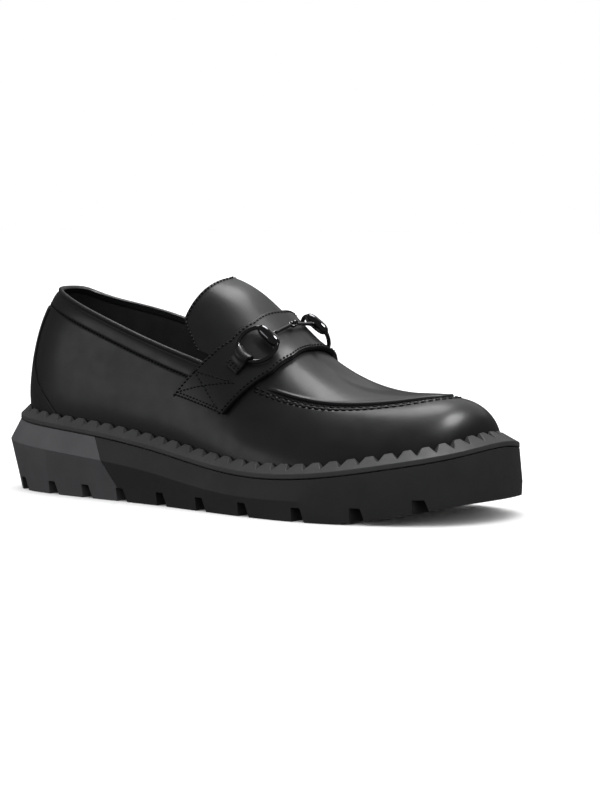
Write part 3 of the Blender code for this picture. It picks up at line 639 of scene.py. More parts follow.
def grid_quads(rows, columns):
    i, j = np.meshgrid(np.arange(rows - 1), np.arange(columns - 1), indexing="ij")
    a = (i * columns + j).ravel()
    return np.stack([a, a + 1, a + columns + 1, a + columns], -1)


def strip(low, high, closed=True):
    """Four-cornered faces between two rows of points."""
    count = len(low)
    pairs = [(k, (k + 1) % count) for k in range(count if closed else count - 1)]
    return [(low[k], low[n], high[n], high[k]) for k, n in pairs]


def stacked(rows, columns, wrapped=False):
    """Faces round a stack of closed rows, the last joined to the first if wrapped."""
    numbers = np.arange(rows * columns).reshape(rows, columns)
    faces = []
    for k in range(rows if wrapped else rows - 1):
        faces += strip(numbers[k], numbers[(k + 1) % rows])
    return faces


def raised(plan, height):
    """Points of a plan at their heights."""
    return np.concatenate([plan, np.asarray(height, float)[..., None]], -1)


def add_object(name, data):
    made = bpy.data.objects.new(name, data)
    bpy.context.scene.collection.objects.link(made)
    return made


def hand_over(bm, mesh):
    """Joins doubled points and turns the faces outward."""
    bmesh.ops.remove_doubles(bm, verts=bm.verts, dist=MERGE)
    bmesh.ops.recalc_face_normals(bm, faces=bm.faces)
    bm.to_mesh(mesh)
    bm.free()


def make_piece(name, points, faces, looks, look_of=None, sharp=40.0):
    """A closed mesh with its faces outward, shaded smooth up to an angle."""
    mesh = bpy.data.meshes.new(name)
    clean = [tuple(dict.fromkeys(int(k) for k in face)) for face in faces]
    kept = [k for k, face in enumerate(clean) if len(face) > 2]
    mesh.from_pydata([tuple(p) for p in points], [], [clean[k] for k in kept])
    for material in looks:
        mesh.materials.append(material)
    if look_of is not None:
        mesh.polygons.foreach_set("material_index", [int(look_of[k]) for k in kept])
    bm = bmesh.new()
    bm.from_mesh(mesh)
    hand_over(bm, mesh)
    mesh.shade_smooth()
    mesh.set_sharp_from_angle(angle=math.radians(sharp))
    return add_object(name, mesh)


def seat(piece, slot, *nodes):
    """Lets a finished piece ride on the frame and stand for its nodes."""
    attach(piece, BODY)
    if nodes:
        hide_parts(*nodes)
    return piece


def bevel(piece, width, limit):
    """Eases the edges over an angle, as plain mesh."""
    change = piece.modifiers.new("edge", "BEVEL")
    change.width = width
    change.segments = 2
    change.limit_method = "ANGLE"
    change.angle_limit = math.radians(limit)
    change.use_clamp_overlap = True
    bake(piece)


def bake(piece):
    """Keeps what the modifiers make of a piece, as plain mesh."""
    graph = bpy.context.evaluated_depsgraph_get()
    mesh = bpy.data.meshes.new_from_object(piece.evaluated_get(graph))
    old = piece.data
    piece.modifiers.clear()
    piece.data = mesh
    mesh.name = old.name
    bpy.data.meshes.remove(old)


class Look:
    """A material under construction: its nodes and its Principled shader."""

    def __init__(self, name, colour, roughness):
        self.material = bpy.data.materials.new(name)
        self.material.use_nodes = True
        self.nodes = self.material.node_tree.nodes
        self.links = self.material.node_tree.links
        self.shader = self.nodes["Principled BSDF"]
        self.shader.inputs["Base Color"].default_value = (*colour, 1.0)
        self.shader.inputs["Roughness"].default_value = roughness
        self.place = self.nodes.new("ShaderNodeTexCoord")
        self.last_bump = None

    def set(self, **values):
        for label, value in values.items():
            self.shader.inputs[label.replace("_", " ")].default_value = value
        return self

    def noise(self, scale, detail=3.0, stretch=None):
        node = self.nodes.new("ShaderNodeTexNoise")
        node.inputs["Scale"].default_value = scale
        node.inputs["Detail"].default_value = detail
        source = self.place.outputs["Object"]
        if stretch:
            turned = self.nodes.new("ShaderNodeMapping")
            turned.inputs["Scale"].default_value = stretch
            self.links.new(source, turned.inputs["Vector"])
            source = turned.outputs["Vector"]
        self.links.new(source, node.inputs["Vector"])
        return node.outputs["Fac"]

    def cells(self, scale):
        node = self.nodes.new("ShaderNodeTexVoronoi")
        node.feature = "SMOOTH_F1"
        node.inputs["Scale"].default_value = scale
        self.links.new(self.place.outputs["Object"], node.inputs["Vector"])
        return node.outputs["Distance"]

    def spread(self, source, low, high):
        node = self.nodes.new("ShaderNodeMapRange")
        node.inputs["From Min"].default_value = 0.3
        node.inputs["From Max"].default_value = 0.7
        node.inputs["To Min"].default_value = low
        node.inputs["To Max"].default_value = high
        self.links.new(source, node.inputs["Value"])
        return node.outputs["Result"]

    def vary_roughness(self, source, low, high):
        self.links.new(self.spread(source, low, high), self.shader.inputs["Roughness"])
        return self

    def vary_colour(self, source, first, second):
        node = self.nodes.new("ShaderNodeMix")
        node.data_type = "RGBA"
        colours = [s for s in node.inputs if s.type == "RGBA"]
        for socket, colour in zip(colours, (first, second)):
            socket.default_value = (*colour, 1.0)
        self.links.new(self.spread(source, 0.0, 1.0), node.inputs["Factor"])
        result = [s for s in node.outputs if s.type == "RGBA"][0]
        self.links.new(result, self.shader.inputs["Base Color"])
        return self

    def relief(self, source, distance, strength=1.0):
        node = self.nodes.new("ShaderNodeBump")
        node.inputs["Strength"].default_value = strength
        node.inputs["Distance"].default_value = distance
        self.links.new(source, node.inputs["Height"])
        if self.last_bump:
            self.links.new(self.last_bump.outputs["Normal"], node.inputs["Normal"])
        self.last_bump = node
        self.links.new(node.outputs["Normal"], self.shader.inputs["Normal"])
        return self


def shade(colour, factor):
    return tuple(min(1.0, value * factor) for value in colour)


def leather_look(name, colour, roughness, coat):
    """Polished calf leather: fine pores, faint mottling and an even wax coat."""
    made = Look(name, colour, roughness)
    made.set(Coat_Weight=coat, Coat_Roughness=0.22, Coat_IOR=1.45, Specular_IOR_Level=0.5)
    made.vary_colour(made.noise(38.0), shade(colour, 0.88), shade(colour, 1.14))
    made.vary_roughness(made.noise(120.0), roughness - 0.03, roughness + 0.05)
    made.relief(made.cells(1500.0), 0.00006, 0.25)
    made.relief(made.noise(420.0), 0.00008, 0.20)
    return made.material


def lining_look(name, colour):
    made = Look(name, colour, 0.72)
    made.set(Specular_IOR_Level=0.3)
    made.vary_colour(made.noise(90.0), shade(colour, 0.8), shade(colour, 1.3))
    made.relief(made.cells(1100.0), 0.0001, 0.35)
    return made.material


def rubber_look(name, colour, roughness):
    """Moulded rubber: satin skin with a fine tooth from the mould."""
    made = Look(name, colour, roughness)
    made.set(Specular_IOR_Level=0.25)
    made.vary_colour(made.noise(60.0), shade(colour, 0.92), shade(colour, 1.10))
    made.vary_roughness(made.noise(200.0), roughness - 0.05, roughness + 0.06)
    made.relief(made.noise(1300.0, 2.0), 0.00006, 0.35)
    return made.material


def thread_look(name, colour):
    made = Look(name, colour, 0.50)
    made.set(Specular_IOR_Level=0.3)
    made.relief(made.noise(3500.0, 1.0, (1.0, 1.0, 0.3)), 0.0001, 0.5)
    return made.material


def metal_look(name, colour):
    """Black lacquered metal, glossy with faint wear."""
    made = Look(name, colour, 0.10)
    made.set(Metallic=1.0, Coat_Weight=0.8, Coat_Roughness=0.04)
    made.vary_roughness(made.noise(300.0), 0.06, 0.14)
    return made.material


LOOKS = {}


def look(name):
    """A finished material by name, made when it is first asked for."""
    if name in LOOKS:
        return LOOKS[name]
    colours = bpy.context.scene.loafer_colours
    leather, rubber = tuple(colours.leather), tuple(colours.rubber)
    makers = {
        "leather": lambda: leather_look("polished_leather", leather, 0.40, 0.30),
        "edge": lambda: leather_look("edge_paint", shade(leather, 1.1), 0.30, 0.20),
        "lining": lambda: lining_look("lining_leather", tuple(colours.lining)),
        "thread": lambda: thread_look("waxed_thread", tuple(colours.thread)),
        "rubber": lambda: rubber_look("black_rubber", rubber, 0.55),
        "heel": lambda: rubber_look("grey_rubber", tuple(colours.heel), 0.55),
        "welt": lambda: rubber_look("welt_rubber", tuple(colours.welt), 0.42),
        "metal": lambda: metal_look("black_metal", tuple(colours.metal)),
    }
    LOOKS[name] = makers[name]()
    return LOOKS[name]


def sole_mesh():
    """The rubber unit before its slots: flat underneath, faceted sides, a flat deck."""
    angles = np.arange(SOLE_COLUMNS) * 360.0 / SOLE_COLUMNS
    spring = toe_spring(angles)
    top = wall_top(angles)
    ridge = spring + (top - spring) * alike(SOLE_TABLE, 5, angles)
    facet = sole_inset(6, angles)
    levels = [
        ring(angles, sole_inset(7, angles), spring),
        ring(angles, 0 * facet, ridge),
        ring(angles, facet, top),
        ring(angles, feather_inset(angles), top),
    ]
    bm = bmesh.new()
    rings = [[bm.verts.new(p) for p in level] for level in levels]
    for low, high in zip(rings[:-1], rings[1:]):
        for face in strip(low, high):
            bm.faces.new(face)
    for deck in (rings[0], rings[-1]):
        for k in range(SOLE_COLUMNS // 2):
            corners = (deck[k], deck[k + 1], deck[-k - 1], deck[-k])
            bm.faces.new(tuple(dict.fromkeys(corners)))
    return bm


def split_sole(bm, point, ahead, keep_front):
    cut = bmesh.ops.bisect_plane(
        bm,
        geom=bm.verts[:] + bm.edges[:] + bm.faces[:],
        dist=1e-7,
        plane_co=point,
        plane_no=ahead,
        clear_inner=keep_front,
        clear_outer=not keep_front,
    )
    edges = [e for e in cut["geom_cut"] if isinstance(e, bmesh.types.BMEdge)]
    bmesh.ops.holes_fill(bm, edges=edges, sides=0)


def mesh_object(name, bm, material):
    """An object of a closed mesh, with its faces outward."""
    mesh = bpy.data.meshes.new(name)
    hand_over(bm, mesh)
    mesh.materials.append(material)
    return add_object(name, mesh)


def slot_cutter(index, share, material):
    """A slot across the sole: upright behind, sloped ahead."""
    place = share * SOLE_LENGTH / 2
    floor = -CUT_UNDER
    roof = float(toe_spring(np.degrees(np.arccos(-share)))) + LUG_DEPTH
    wide = LUG_SLOPE * (roof - floor) / LUG_DEPTH
    section = [
        (place, floor),
        (place + LUG_SLOT + wide, floor),
        (place + LUG_SLOT, roof),
        (place + CUT_LEAN, roof),
    ]
    bm = bmesh.new()
    left = [bm.verts.new((x, -SOLE_WIDTH, z)) for x, z in section]
    right = [bm.verts.new((x, SOLE_WIDTH, z)) for x, z in section]
    for face in [left, right, *strip(left, right)]:
        bm.faces.new(face)
    return mesh_object(f"slot_cutter_{index}", bm, material)


def make_sole_unit(name, material, front, slot):
    """The outsole or the heel block, slotted underneath, with its edges eased."""
    lean = Vector((HEEL_HEIGHT, 0.0, HEEL_CUT_FOOT - HEEL_CUT_TOP)).normalized()
    cut_top = Vector((HEEL_CUT_TOP, 0.0, HEEL_HEIGHT))
    bm = sole_mesh()
    split_sole(bm, cut_top + lean * (GAP / 2 if front else -GAP / 2), lean, front)
    piece = mesh_object(f"{name}_unit", bm, material)
    cutters = [slot_cutter(k, share, material) for k, share in enumerate(LUG_PLACES)]
    for cutter in cutters:
        change = piece.modifiers.new(cutter.name, "BOOLEAN")
        change.operation = "DIFFERENCE"
        change.solver = "EXACT"
        change.object = cutter
    bake(piece)
    for cutter in cutters:
        bpy.data.objects.remove(cutter, do_unlink=True)
    bevel(piece, *SOLE_BEVEL)
    piece.data.shade_smooth()
    piece.data.set_sharp_from_angle(angle=math.radians(SOLE_SHARP))
    return seat(piece, slot, name)


def make_welt():
    """The toothed strip round the upper's foot, one tooth per pitch."""
    fine = np.linspace(0, 360, WELT_SAMPLES)
    run = runs_along(ring(fine, sole_inset(6, fine), wall_top(fine)))
    teeth = int(round(run[-1] / TOOTH_PITCH))
    places = np.array([k + step for k in range(teeth) for step in WELT_STEPS])
    angle = np.interp(places / teeth * run[-1], run, fine)
    level = np.interp(places % 1.0, column(TOOTH_TABLE, 0), column(TOOTH_TABLE, 1))
    base = wall_top(angle) + GAP
    outer = outline(angle, sole_inset(6, angle))
    foot = last(angle, 0.0)[..., :2]
    top = last(angle, share_at_height(angle, WELT_HEIGHT))[..., :2]
    away = unit(outer - foot)
    clear = GAP + HEEL_STRIP * (folded(angle) < HEEL_STRIP_TABLE[0][1] + STRIP_MARGIN)
    foot_in = foot + away * clear[:, None]
    top_in = top + away * clear[:, None]
    height = WELT_HEIGHT * level
    slope = (height - WELT_RIB) / (WELT_HEIGHT - WELT_RIB) * CREST_SHARE
    crest = outer + (top_in - outer) * slope[:, None]
    inner = foot_in + (top_in - foot_in) * level[:, None]
    levels = [
        (outer - away * WELT_CHAMFER, base),
        (outer, base + WELT_CHAMFER),
        (outer, base + WELT_RIB),
        (crest, base + height),
        (inner, base + height),
        (foot_in, base),
    ]
    points = np.concatenate([raised(plan, z) for plan, z in levels])
    faces = stacked(len(levels), len(places), wrapped=True)
    piece = make_piece("welt_strip", points, faces, [look("welt")], sharp=WELT_SHARP)
    bevel(piece, *WELT_BEVEL)
    return seat(piece, "welt_rubber", "welt")


def make_insole():
    """The sock lining on its board, a little crowned."""
    angles = np.arange(INSOLE_COLUMNS) * 360.0 / INSOLE_COLUMNS
    inset = feather_inset(angles) + FEATHER_TUCK + WALL + INSOLE_CLEARANCE
    rim = outline(angles, inset)
    spine = np.stack(ridge_point(angles)[:2], -1)
    loops = [raised(plan, deck_height(plan[:, 0]) + GAP) for plan in (spine, rim)]
    for share in INSOLE_SHARES:
        plan = rim + (spine - rim) * share
        thinning = INSOLE_THINNING * (1 - min(share / INSOLE_EASE, 1.0))
        crown = INSOLE_THICKNESS - thinning + INSOLE_CROWN * math.sin(math.pi / 2 * share)
        loops.append(raised(plan, deck_height(plan[:, 0]) + GAP + crown))
    faces = stacked(len(loops), len(angles))
    piece = make_piece("sock_lining", np.concatenate(loops), faces, [look("lining")])
    return seat(piece, "insole_lining", "insole")


def crease_depth(points):
    """Depth of the soft troughs at points of the upper."""
    depth = np.zeros(len(points))
    for a, s, b, t, width, deep in CREASE_TABLE:
        start, stop = last(a, s), last(b, t)
        ahead = stop - start
        length = np.linalg.norm(ahead)
        ahead = ahead / length
        along = (points - start) @ ahead
        away = np.linalg.norm(points - start - np.clip(along, 0, length)[:, None] * ahead, axis=1)
        rest = CREASE_FADE * length
        fade = smooth_step(along / rest) * smooth_step((length - along) / rest)
        depth += deep * bump(away, 0.0, width) * fade
    return depth


def collar_share(angle):
    """1 where the upper ends in the collar, 0 where it runs under the strap and on to the toe."""
    return 1 - smooth_step((folded(angle) - COLLAR_END) / COLLAR_FADE)


def side_relief(sizes, angle, run):
    """Height of the side wall's beads, bands and grooves over the plain last."""
    groove = sizes.groove
    band = sizes.collar_band
    puffed = np.clip((run - PUFF_START) / (band - PUFF_START), 0, 1)
    collar = sizes.collar_bead * bump(run, *BEAD_LINE) + sizes.collar_puff * np.sin(math.pi * puffed)
    collar = collar - groove * (bump(run, *FOLD_LINE) + BAND_GROOVE * bump(run, band, GROOVE_WIDTH))
    seam = groove * sum(height * bump(run, place, width) for place, width, height in SEAM_LINES)
    return collar * collar_share(angle) + seam * apron_ramp(angle)


def upper_mesh(sizes):
    """Points, normals and layout of the upper's outer skin before and after its relief."""
    step = 360.0 / UPPER_COLUMNS
    angles = np.arange(UPPER_COLUMNS) * step
    edge = upper_edge(angles)
    rows = len(SIDE_NEAR) + SIDE_ROWS
    throat = int(round(THROAT_ANGLE / step))
    half = UPPER_COLUMNS // 2
    side_share = np.zeros((UPPER_COLUMNS, rows))
    side_run = np.zeros((UPPER_COLUMNS, rows))
    for c in range(UPPER_COLUMNS):
        shares = np.linspace(edge[c], 0.0, SECTION_SAMPLES)
        run = runs_along(last(angles[c], shares))
        side_run[c] = spaced(run[-1], SIDE_NEAR, SIDE_ROWS)
        side_share[c] = np.interp(side_run[c], run, shares)
    points = [last(angles[:, None], side_share).reshape(-1, 3)]
    height = [side_relief(sizes, angles[:, None], side_run).ravel()]
    ups = len(APRON_NEAR) + APRON_ROWS
    index = {}
    for c in range(UPPER_COLUMNS):
        for r in range(rows):
            index[(c, -r)] = c * rows + r
    at = UPPER_COLUMNS * rows
    for c in range(throat, UPPER_COLUMNS - throat + 1):
        shares = np.linspace(edge[c], 1.0, SECTION_SAMPLES)
        run = runs_along(last(angles[c], shares))
        runs = spaced(run[-1], APRON_NEAR, APRON_ROWS)
        mirrored = c > half
        count = ups - 1 if mirrored else ups
        points.append(last(angles[c], np.interp(runs[:count], run, shares)))
        lift = APRON_RISE * (1 - np.exp(-runs[:count] / APRON_ROUND))
        lift = lift + sizes.seam_bead * bump(runs[:count], *APRON_BEAD_LINE)
        height.append(lift * apron_ramp(angles[c]))
        for j in range(1, count + 1):
            index[(c, j)] = at + j - 1
        if mirrored:
            index[(c, ups)] = index[(UPPER_COLUMNS - c, ups)]
        at += count
    points = np.concatenate(points)
    height = np.concatenate(height)
    cells = [(c, -r - 1) for c in range(UPPER_COLUMNS) for r in range(rows - 1)]
    cells += [(c, j) for c in range(throat, UPPER_COLUMNS - throat) for j in range(ups)]
    faces = []
    for c, j in cells:
        n = (c + 1) % UPPER_COLUMNS
        faces.append((index[(c, j)], index[(n, j)], index[(n, j + 1)], index[(c, j + 1)]))
    normals = mesh_normals(points, np.array(faces))
    outer = points + normals * (height - crease_depth(points))[:, None]
    return {
        "rows": rows,
        "ups": ups,
        "throat": throat,
        "index": index,
        "base": points,
        "normals": normals,
        "outer": outer,
        "faces": faces,
        "side_run": side_run,
    }


def make_upper(sizes):
    """The hollow upper with its rolled topline, apron seam and lining."""
    u = upper_mesh(sizes)
    index, rows, ups, throat = u["index"], u["rows"], u["ups"], u["throat"]
    count = len(u["outer"])
    side = UPPER_COLUMNS * rows
    side_run = u["side_run"].ravel()
    binding = np.zeros(count)
    binding[:side] = BINDING * smooth_step((BINDING_WIDTH - side_run) / BINDING_RAMP)
    inner = u["base"] - u["normals"] * WALL - u["normals"] * binding[:, None]
    for c in range(UPPER_COLUMNS):
        k = index[(c, -(rows - 1))]
        inner[k, 2] = u["base"][k, 2]
    points = [u["outer"], inner]
    faces = list(u["faces"])
    looks = [0] * len(faces)
    for face in u["faces"]:
        faces.append(tuple(k + count for k in reversed(face)))
        bound = face[3] < side and side_run[face[0]] < BINDING_EDGE
        looks.append(0 if bound else 1)
    foot = rows - 1
    for c in range(UPPER_COLUMNS):
        n = (c + 1) % UPPER_COLUMNS
        a, b = index[(c, -foot)], index[(n, -foot)]
        faces.append((b, a, a + count, b + count))
    collar = [c % UPPER_COLUMNS for c in range(-throat, throat + 1)]
    top = np.array([index[(c, 0)] for c in collar])
    below = np.array([index[(c, -3)] for c in collar])
    up = unit(u["base"][top] - u["base"][below])
    rims = [top]
    for k, share in enumerate(TOPLINE_STEPS):
        level = TOPLINE_CROWN * math.sin(math.pi * share)
        points.append(u["outer"][top] * (1 - share) + inner[top] * share + up * level)
        rims.append(2 * count + k * len(collar) + np.arange(len(collar)))
    rims.append(top + count)
    for low, high in zip(rims[:-1], rims[1:]):
        faces += strip(low, high, closed=False)
    for end in (0, -1):
        faces.append(tuple(rim[end] for rim in rims))
    for c, flip in ((throat, False), (UPPER_COLUMNS - throat, True)):
        for j in range(ups):
            a, b = index[(c, j)], index[(c, j + 1)]
            face = (a, b, b + count, a + count)
            faces.append(face[::-1] if flip else face)
    looks += [0] * (len(faces) - len(looks))
    materials = [look("leather"), look("lining")]
    piece = make_piece("upper_leather_shell", np.concatenate(points), faces, materials, looks)
    return seat(piece, "upper_leather", "upper")


class Sheet:
    """A patch of leather over a grid of surface points, with its thickness and edge section."""

    def __init__(self, grid, lift, thickness):
        rows, columns = grid.shape[:2]
        self.grid = grid
        self.quads = grid_quads(rows, columns)
        normals = mesh_normals(grid.reshape(-1, 3), self.quads).reshape(grid.shape)
        middle = grid.reshape(-1, 3).mean(axis=0)
        if ((grid - middle) * normals).sum() < 0:
            normals = -normals
            self.quads = self.quads[:, ::-1]
        self.normals = normals
        self.lift = np.broadcast_to(np.asarray(lift, float), (rows, columns))
        self.thickness = thickness

    def at(self, level):
        """The grid at a share of the thickness, from the seated face (0) to the outer face (1)."""
        return self.grid + self.normals * (self.lift + self.thickness * level)[..., None]

    def border(self):
        rows, columns = self.grid.shape[:2]
        run = [(0, j) for j in range(columns)]
        run += [(i, columns - 1) for i in range(1, rows)]
        run += [(rows - 1, j) for j in range(columns - 2, -1, -1)]
        run += [(i, 0) for i in range(rows - 2, 0, -1)]
        return run

    def outward(self):
        """Unit directions off the sheet's border, in the sheet."""
        rows, columns = self.grid.shape[:2]
        away = []
        for i, j in self.border():
            step = np.zeros(3)
            if i in (0, rows - 1):
                step += unit(self.grid[i, j] - self.grid[1 if i == 0 else rows - 2, j])
            if j in (0, columns - 1):
                step += unit(self.grid[i, j] - self.grid[i, 1 if j == 0 else columns - 2])
            away.append(unit(step))
        return np.array(away)

    def make(self, name, section, looks, relief=None):
        """The closed piece. Its looks are the outer face, the edge and the seated face."""
        rows, columns = self.grid.shape[:2]
        count = rows * columns
        outer = self.at(1.0)
        if relief is not None:
            outer = outer + self.normals * relief[..., None]
        outer = outer.reshape(-1, 3)
        inner = self.at(0.0).reshape(-1, 3)
        away = self.outward()
        flat = np.array([i * columns + j for i, j in self.border()])
        rings = [self.at(level).reshape(-1, 3)[flat] - away * inset for level, inset in section]
        outer[flat] = rings[0]
        inner[flat] = rings[-1]
        points = [outer, inner, *rings[1:-1]]
        faces = [tuple(q) for q in self.quads]
        kinds = [0] * len(faces)
        faces += [tuple(k + count for k in q[::-1]) for q in self.quads]
        kinds += [2] * len(self.quads)
        loops = [2 * count + k * len(flat) + np.arange(len(flat)) for k in range(len(rings) - 2)]
        loops = [flat, *loops, flat + count]
        for low, high in zip(loops[:-1], loops[1:]):
            faces += strip(low, high)
        kinds += [1] * (len(faces) - len(kinds))
        return make_piece(name, np.concatenate(points), faces, looks, kinds, sharp=50.0)


def even_shares(angle, start, count, form=last):
    """Shares up a section to the ridge, evenly spaced along its surface."""
    shares = np.linspace(start, 1.0, 2 * SECTION_SAMPLES)
    run = runs_along(form(angle, shares))
    return np.interp(np.linspace(0, run[-1], count), run, shares)


def across_rows(shares):
    """Rows from the lateral end over the ridge to the medial end, as share and side."""
    rows = [(s, 1) for s in shares]
    rows += [(s, -1) for s in shares[-2::-1]]
    return rows


def crossing(rear, front, share, side, form, near_both):
    """Angles across a band at one share, close together beside its edges."""
    angles = np.linspace(rear, front, SECTION_SAMPLES // 2)
    run = runs_along(form(angles * side, share))
    if near_both:
        half = spaced(run[-1] / 2, SHEET_NEAR, CROSSING_STEPS)
        runs = np.concatenate([half, run[-1] - half[-2::-1]])
    else:
        runs = spaced(run[-1], SHEET_NEAR, 2 * CROSSING_STEPS)
    return np.interp(runs, run, angles)


def strap_row(share, across_strap):
    """Angles and shares of a row over the strap, whose sewn ends rise toward the front edge."""
    shares = share + END_TILT * across_strap * np.clip(2 - share / STRAP_TABLE[0][0], 0, 1)
    angles = strap_edge(shares, 1) * (1 - across_strap) + strap_edge(shares, 2) * across_strap
    return angles, shares


def strap_sheet():
    grid, lift = [], []
    for share, side in across_rows(even_shares(STRAP_MIDDLE, STRAP_TABLE[0][0], STRAP_ROWS)):
        rear, front = strap_edge(share, 1), strap_edge(share, 2)
        even = crossing(rear, front, share, side, last, True)
        angles, shares = strap_row(share, (even - rear) / (front - rear))
        grid.append(last(angles * side, shares))
        lift.append(SEAT_GAP + APRON_RISE * apron_ramp(angles))
    return Sheet(np.array(grid), np.array(lift), STRAP_THICKNESS)


def make_strap():
    """The saddle strap: two layers with a line between them round the edge."""
    looks = [look("leather"), look("edge"), look("leather")]
    piece = strap_sheet().make("saddle_strap_leather", LAYERED_EDGE, looks)
    return seat(piece, "strap_leather", "saddle_strap")


def tongue_share(angle, share):
    """The tongue's lowest row follows the topline, and the rows above it ease into even shares."""
    first = TONGUE_TABLE[0][0]
    lift = upper_edge(angle) + TONGUE_CLEARANCE - first
    return share + np.maximum(lift, 0.0) * np.clip((TONGUE_EASE - share) / (TONGUE_EASE - first), 0, 1)


def tongue_sheet():
    grid = []
    low = TONGUE_TABLE[0][0]
    for share, side in across_rows(even_shares(TONGUE_MIDDLE, low, TONGUE_ROWS, tongue_form)):
        rear = np.interp(share, column(TONGUE_TABLE, 0), column(TONGUE_TABLE, 1))
        angles = crossing(rear, TONGUE_ROOT, share, side, tongue_form, False) * side
        grid.append(tongue_form(angles, tongue_share(angles, share)))
    return Sheet(np.array(grid), -TONGUE_THICKNESS, TONGUE_THICKNESS)


def make_tongue(sizes):
    """The tongue behind the strap, with a groove for the stitches along its edge."""
    sheet = tongue_sheet()
    rows, columns = sheet.grid.shape[:2]
    distance = np.interp(np.arange(columns), np.arange(len(SHEET_NEAR)), SHEET_NEAR)
    groove = -sizes.groove * bump(distance, SHEET_NEAR[STITCH_COLUMN], GROOVE_WIDTH)
    relief = np.tile(groove, (rows, 1))
    looks = [look("leather"), look("edge"), look("lining")]
    piece = sheet.make("tongue_leather_sheet", ROUND_EDGE, looks, relief)
    return seat(piece, "tongue_leather", "tongue")


def make_heel_strip(sizes):
    """The strip up the back of the heel, from the welt to the collar band."""
    grid = []
    for share in np.linspace(STRIP_FOOT, HEEL_STRIP_TABLE[-1][0], STRIP_ROWS):
        edge = np.interp(share, column(HEEL_STRIP_TABLE, 0), column(HEEL_STRIP_TABLE, 1))
        grid.append(last(edge * STRIP_ACROSS, share))
    sheet = Sheet(np.array(grid), STRIP_LIFT, sizes.strip_thickness)
    piece = sheet.make("heel_strip", STRIP_EDGE, [look("leather"), look("edge"), look("leather")])
    return seat(piece, "upper_leather")


def strap_point(angle, share, side, lift):
    """A point above the strap's outer face, with the directions up the section and outward."""
    a = angle * side
    if share >= 1:
        up = last(-a, NEAR_RIDGE) - last(a, NEAR_RIDGE)
    else:
        up = last(a, min(share + SHARE_STEP, 1.0)) - last(a, share - SHARE_STEP)
    along = last((angle + 1) * side, share) - last((angle - 1) * side, share)
    normal = unit(np.cross(along, up) * side)
    if normal[2] < 0:
        normal = -normal
    stand = SEAT_GAP + APRON_RISE * float(apron_ramp(angle)) + STRAP_THICKNESS + lift
    return last(a, share) + normal * stand, unit(up), normal


def swept_tube(points, radius, steps, closed=False):
    """Points and faces of a round bar along a line."""
    points = np.asarray(points, float)
    count = len(points)
    radius = np.broadcast_to(np.asarray(radius, float), (count,))
    if closed:
        ahead = unit(np.roll(points, -1, 0) - np.roll(points, 1, 0))
    else:
        ahead = unit(np.gradient(points, axis=0))
    guide = np.eye(3)[np.argmin(np.abs(ahead[0]))]
    side = unit(np.cross(ahead[0], guide))
    rings = []
    turn = 2 * math.pi * np.arange(steps) / steps
    for k in range(count):
        side = unit(side - ahead[k] * (side @ ahead[k]))
        over = np.cross(ahead[k], side)
        rings.append(points[k] + (np.outer(np.cos(turn), side) + np.outer(np.sin(turn), over)) * radius[k])
    faces = stacked(count, steps, wrapped=closed)
    if not closed:
        faces.append(tuple(range(steps))[::-1])
        faces.append(tuple((count - 1) * steps + i for i in range(steps)))
    return np.concatenate(rings), faces


def gather(bodies):
    """One list of points and faces out of several."""
    points, faces, at = [], [], 0
    for body_points, body_faces in bodies:
        points.append(body_points)
        faces += [tuple(k + at for k in face) for face in body_faces]
        at += len(body_points)
    return np.concatenate(points), faces


def arc(centre, first, second, radius, turns):
    """Points round a centre, by turns from the first direction to the second."""
    return centre + (np.outer(np.cos(turns), first) + np.outer(np.sin(turns), second)) * radius


def bit_angle(share, side):
    """The angle at which the bit crosses a share of the strap."""
    return (strap_edge(share, 1) + strap_edge(share, 2)) / 2 - BIT_LAG[side]


def barrel_chord():
    """How far the barrel lies ahead of the hoop's centre."""
    return math.sqrt(RING_RADIUS**2 - (BARREL_LENGTH / 2 - BARREL_SET) ** 2)


def ring_frame(side):
    """Foot and head of a ring on its side of the strap, and the ring's three directions."""
    low, high = RING_SHARES[side]
    foot, _, foot_normal = strap_point(bit_angle(low, side), low, side, BIT_LIFT + WIRE_RADIUS)
    head, _, head_normal = strap_point(bit_angle(high, side), high, side, BIT_LIFT + BARREL_RADIUS)
    up = unit(head - foot)
    normal = foot_normal + head_normal
    normal = unit(normal - up * normal.dot(up))
    along = np.cross(up, normal)
    if along[0] < 0:
        along = -along
    return foot, foot + up * (RING_RADIUS + barrel_chord()), up, along, normal


